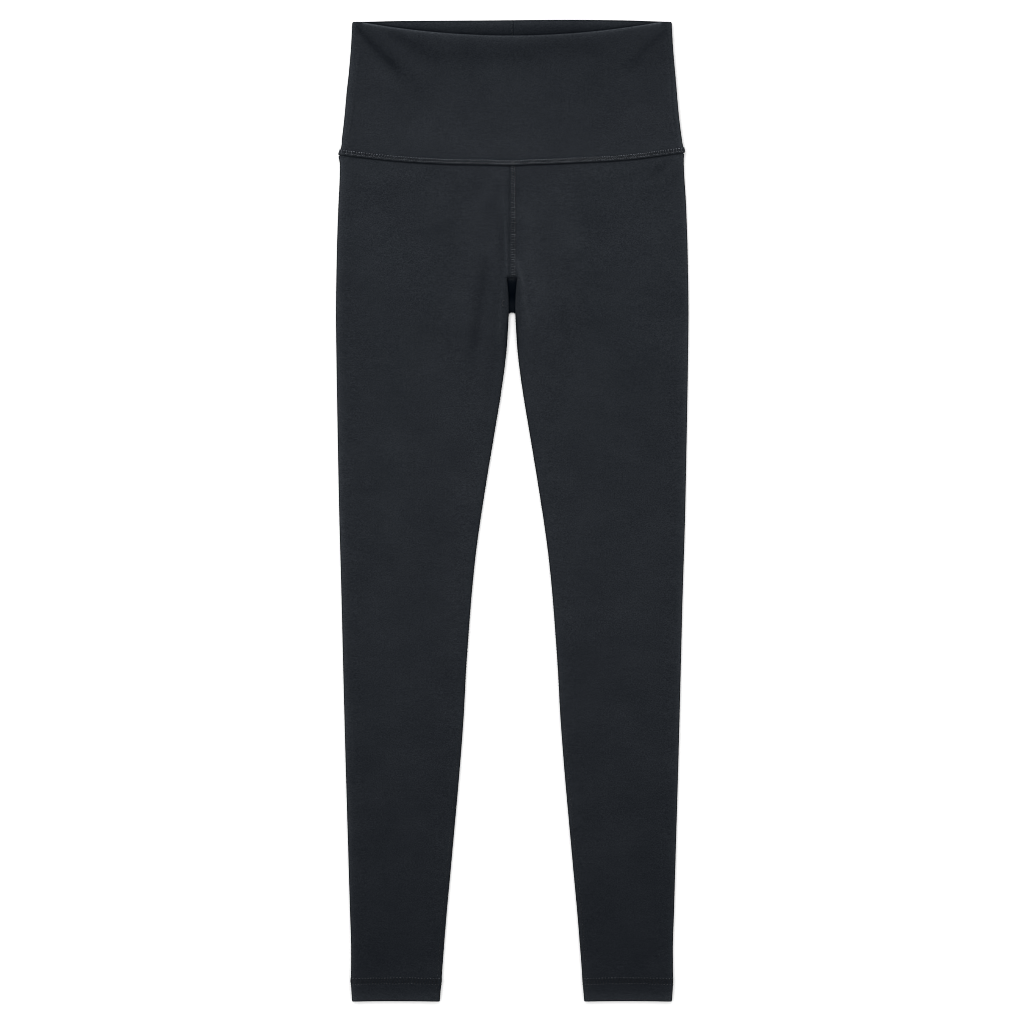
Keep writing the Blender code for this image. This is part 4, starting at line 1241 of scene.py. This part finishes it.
def sew_hem(name, grid, levels, material):
    """The two rows of a coverstitched hem, all round, and the small ribs that they pull up."""
    thread = Thread()
    normals = turned_normals(grid, slice(10, 20), FRONT_COLUMNS // 2)
    rows = []
    for level, share, tone in ((HEM_ROWS[0], 0.80, 0.90), (HEM_ROWS[1], 0.70, 0.72)):
        r = nearest(levels, level)
        rows.append(stitch_row(thread, grid[r], normals[r], HEM_STITCH, THREAD * share, 5, tone, 0.3))
    (first, ups), (second, _) = rows
    rungs(thread, first, second, ups, RUNG * 0.7, 1, tone=0.22)
    return thread.object(name, material)


def sew_gusset(grid, material):
    """A row along each side of the gusset on the back."""
    thread = Thread()
    lower = [r for r in range(len(grid)) if grid[r, 0, 2] < SEAM_ROOM * 1.1 and r > len(grid) // 3]
    downward = np.tile([0.0, 0.0, -1.0], (len(lower), 1))
    for column in (1, -2):
        stitch_row(thread, grid[lower, column], downward, STITCH, THREAD * 0.7, 5)
    return thread.object("gusset_thread", material)


def sew_facing(inner, material):
    """The dotted row of the centre-back seam, on the band's inner face above the front edge."""
    thread = Thread()
    y = np.linspace(FRONT_EDGE_LEVEL - LENGTH / 2 - FACING_HIDDEN, inner[-1, 0, 1] - 1.0 * MM,
                    FACING_POINTS)
    z = np.interp(y, inner[:, 0, 1], inner[:, 0, 2])
    line = np.stack([np.zeros(FACING_POINTS), y, z], axis=-1)
    stitch_row(thread, line, np.tile(UP, (FACING_POINTS, 1)), SMALL_STITCH, THREAD * 0.6, tone=0.8,
               uneven=0.5)
    return thread.object("facing_thread", material)


# ------------------------------------------------------------------ the garment

Cut = namedtuple("Cut", "width length area")
LEG_SIDES = (0.1 * MM, 0.1 * MM)  # how far a leg's two long edges are rounded out
LEG_INSIDE = 0.5           # tone of the inner faces, as a share of the outer ones
BAND_INSIDE = 0.6


def declare(node):
    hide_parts(node)


def build_garment():
    knit, cotton = knit_material("charcoal_knit", NAP), thread_material()
    # a shaded copy of the knit, without nap or sheen, so that the gusset in the slot reads darker
    shaded_knit = knit_material("charcoal_knit_shaded", 0.0)
    sides = (("left", 1), ("right", -1))
    legs, levels = [], runs(LEG_RUNS)
    for name, side in sides:
        outer, inner, tones = leg_grids(side, levels)
        leg = shell(f"leg_{name}_cloth", outer, inner, tones, tones * LEG_INSIDE, knit,
                    ends=(HEM_WALL / 2, 0.0), sides=LEG_SIDES)
        hem = sew_hem(f"hem_{name}_thread", outer, levels, cotton)
        inseam = sew_inseam(f"inseam_{name}_thread", outer, levels, cotton)
        declare(f"leg_{name}")
        legs.append(outer)
    band_ends = (0.0, BAND_WALL / 2)
    front, front_inner, front_tones = front_band_grids()
    band = shell("waistband_front_cloth", front, front_inner, front_tones, front_tones * BAND_INSIDE,
                 knit, band_ends)
    backs, pieces = [], []
    for name, side in sides:
        outer, inner, tones, inner_tones = back_band_grids(side)
        pieces.append(shell(f"waistband_back_{name}_cloth", outer, inner, tones, inner_tones, knit,
                            band_ends))
        backs.append(outer)
        if side > 0:
            facing_thread = sew_facing(inner, cotton)
    waist_thread = sew_waist(front, backs, cotton)
    declare("waistband_front")
    for (name, side), piece in zip(sides, pieces):
        declare(f"waistband_back_{name}")
    outer, inner, tones = gusset_grids()
    gusset = shell("gusset_cloth", outer, inner, tones, tones, shaded_knit)
    gusset_thread = sew_gusset(outer, cotton)
    declare("gusset")
    sew_centre("centre_front_thread", legs, levels, SLOT_HEAD, CENTRE_ROWS,
               slice(0, STRIP_TURN + STRIP_TOP), 1, cotton)
    sew_centre("centre_back_thread", legs, levels, GUSSET_TIP, BACK_ROWS, slice(-EDGE_PARTS, None),
               -1, cotton)


# ------------------------------------------------------------------ floor, light and camera

FLOOR_DROP = 0.3 * MM
FLOOR_HALF = 6.0
VIEW_FIELD = 1.0547        # width that the view takes in, at the garment
VIEW_CENTRE = (0.0, -0.0011)
LENS = 100.0
SENSOR = 36.0
PIXEL_SOFTNESS = 0.95


def build_stage():
    bpy.ops.mesh.primitive_plane_add(size=2 * FLOOR_HALF, location=(0, 0, -FLOOR_DROP))
    floor = bpy.context.object
    floor.name = "floor"
    material = bpy.data.materials.new("pale_floor")
    material.use_nodes = True
    set_inputs(material.node_tree.nodes["Principled BSDF"],
               {"Base Color": (0.96, 0.96, 0.96, 1.0), "Roughness": 0.9, "Specular IOR Level": 0.1})
    floor.data.materials.append(material)


def soft_light(name, place, aim, size, power):
    data = bpy.data.lights.new(name, "AREA")
    data.shape = "RECTANGLE"
    data.size, data.size_y = size
    data.energy = power
    light = bpy.data.objects.new(name, data)
    light.location = place
    direction = light.location.copy()
    direction.x, direction.y, direction.z = (a - p for a, p in zip(aim, place))
    light.rotation_euler = direction.to_track_quat("-Z", "Y").to_euler()
    bpy.context.collection.objects.link(light)


def build_light():
    scene = bpy.context.scene
    world = bpy.data.worlds.new("studio")
    world.use_nodes = True
    set_inputs(world.node_tree.nodes["Background"], {"Color": (1.0, 1.0, 1.0, 1.0), "Strength": 1.12})
    scene.world = world
    soft_light("key", (-0.7, 1.2, 1.5), (0.0, 0.1, 0.0), (1.6, 1.0), 13.0)
    scene.cycles.filter_width = PIXEL_SOFTNESS
    scene.view_settings.view_transform = "Standard"
    scene.view_settings.look = "None"
    scene.view_settings.exposure = 0.0
    scene.view_settings.gamma = 1.0


def build_camera():
    data = bpy.data.cameras.new("camera")
    data.lens = LENS
    data.sensor_width = SENSOR
    data.sensor_fit = "HORIZONTAL"
    camera = bpy.data.objects.new("camera", data)
    camera.location = (*VIEW_CENTRE, VIEW_FIELD * LENS / SENSOR + BAND_FOLD / 2)
    bpy.context.collection.objects.link(camera)
    bpy.context.scene.camera = camera


build_garment()
build_stage()
build_light()
build_camera()
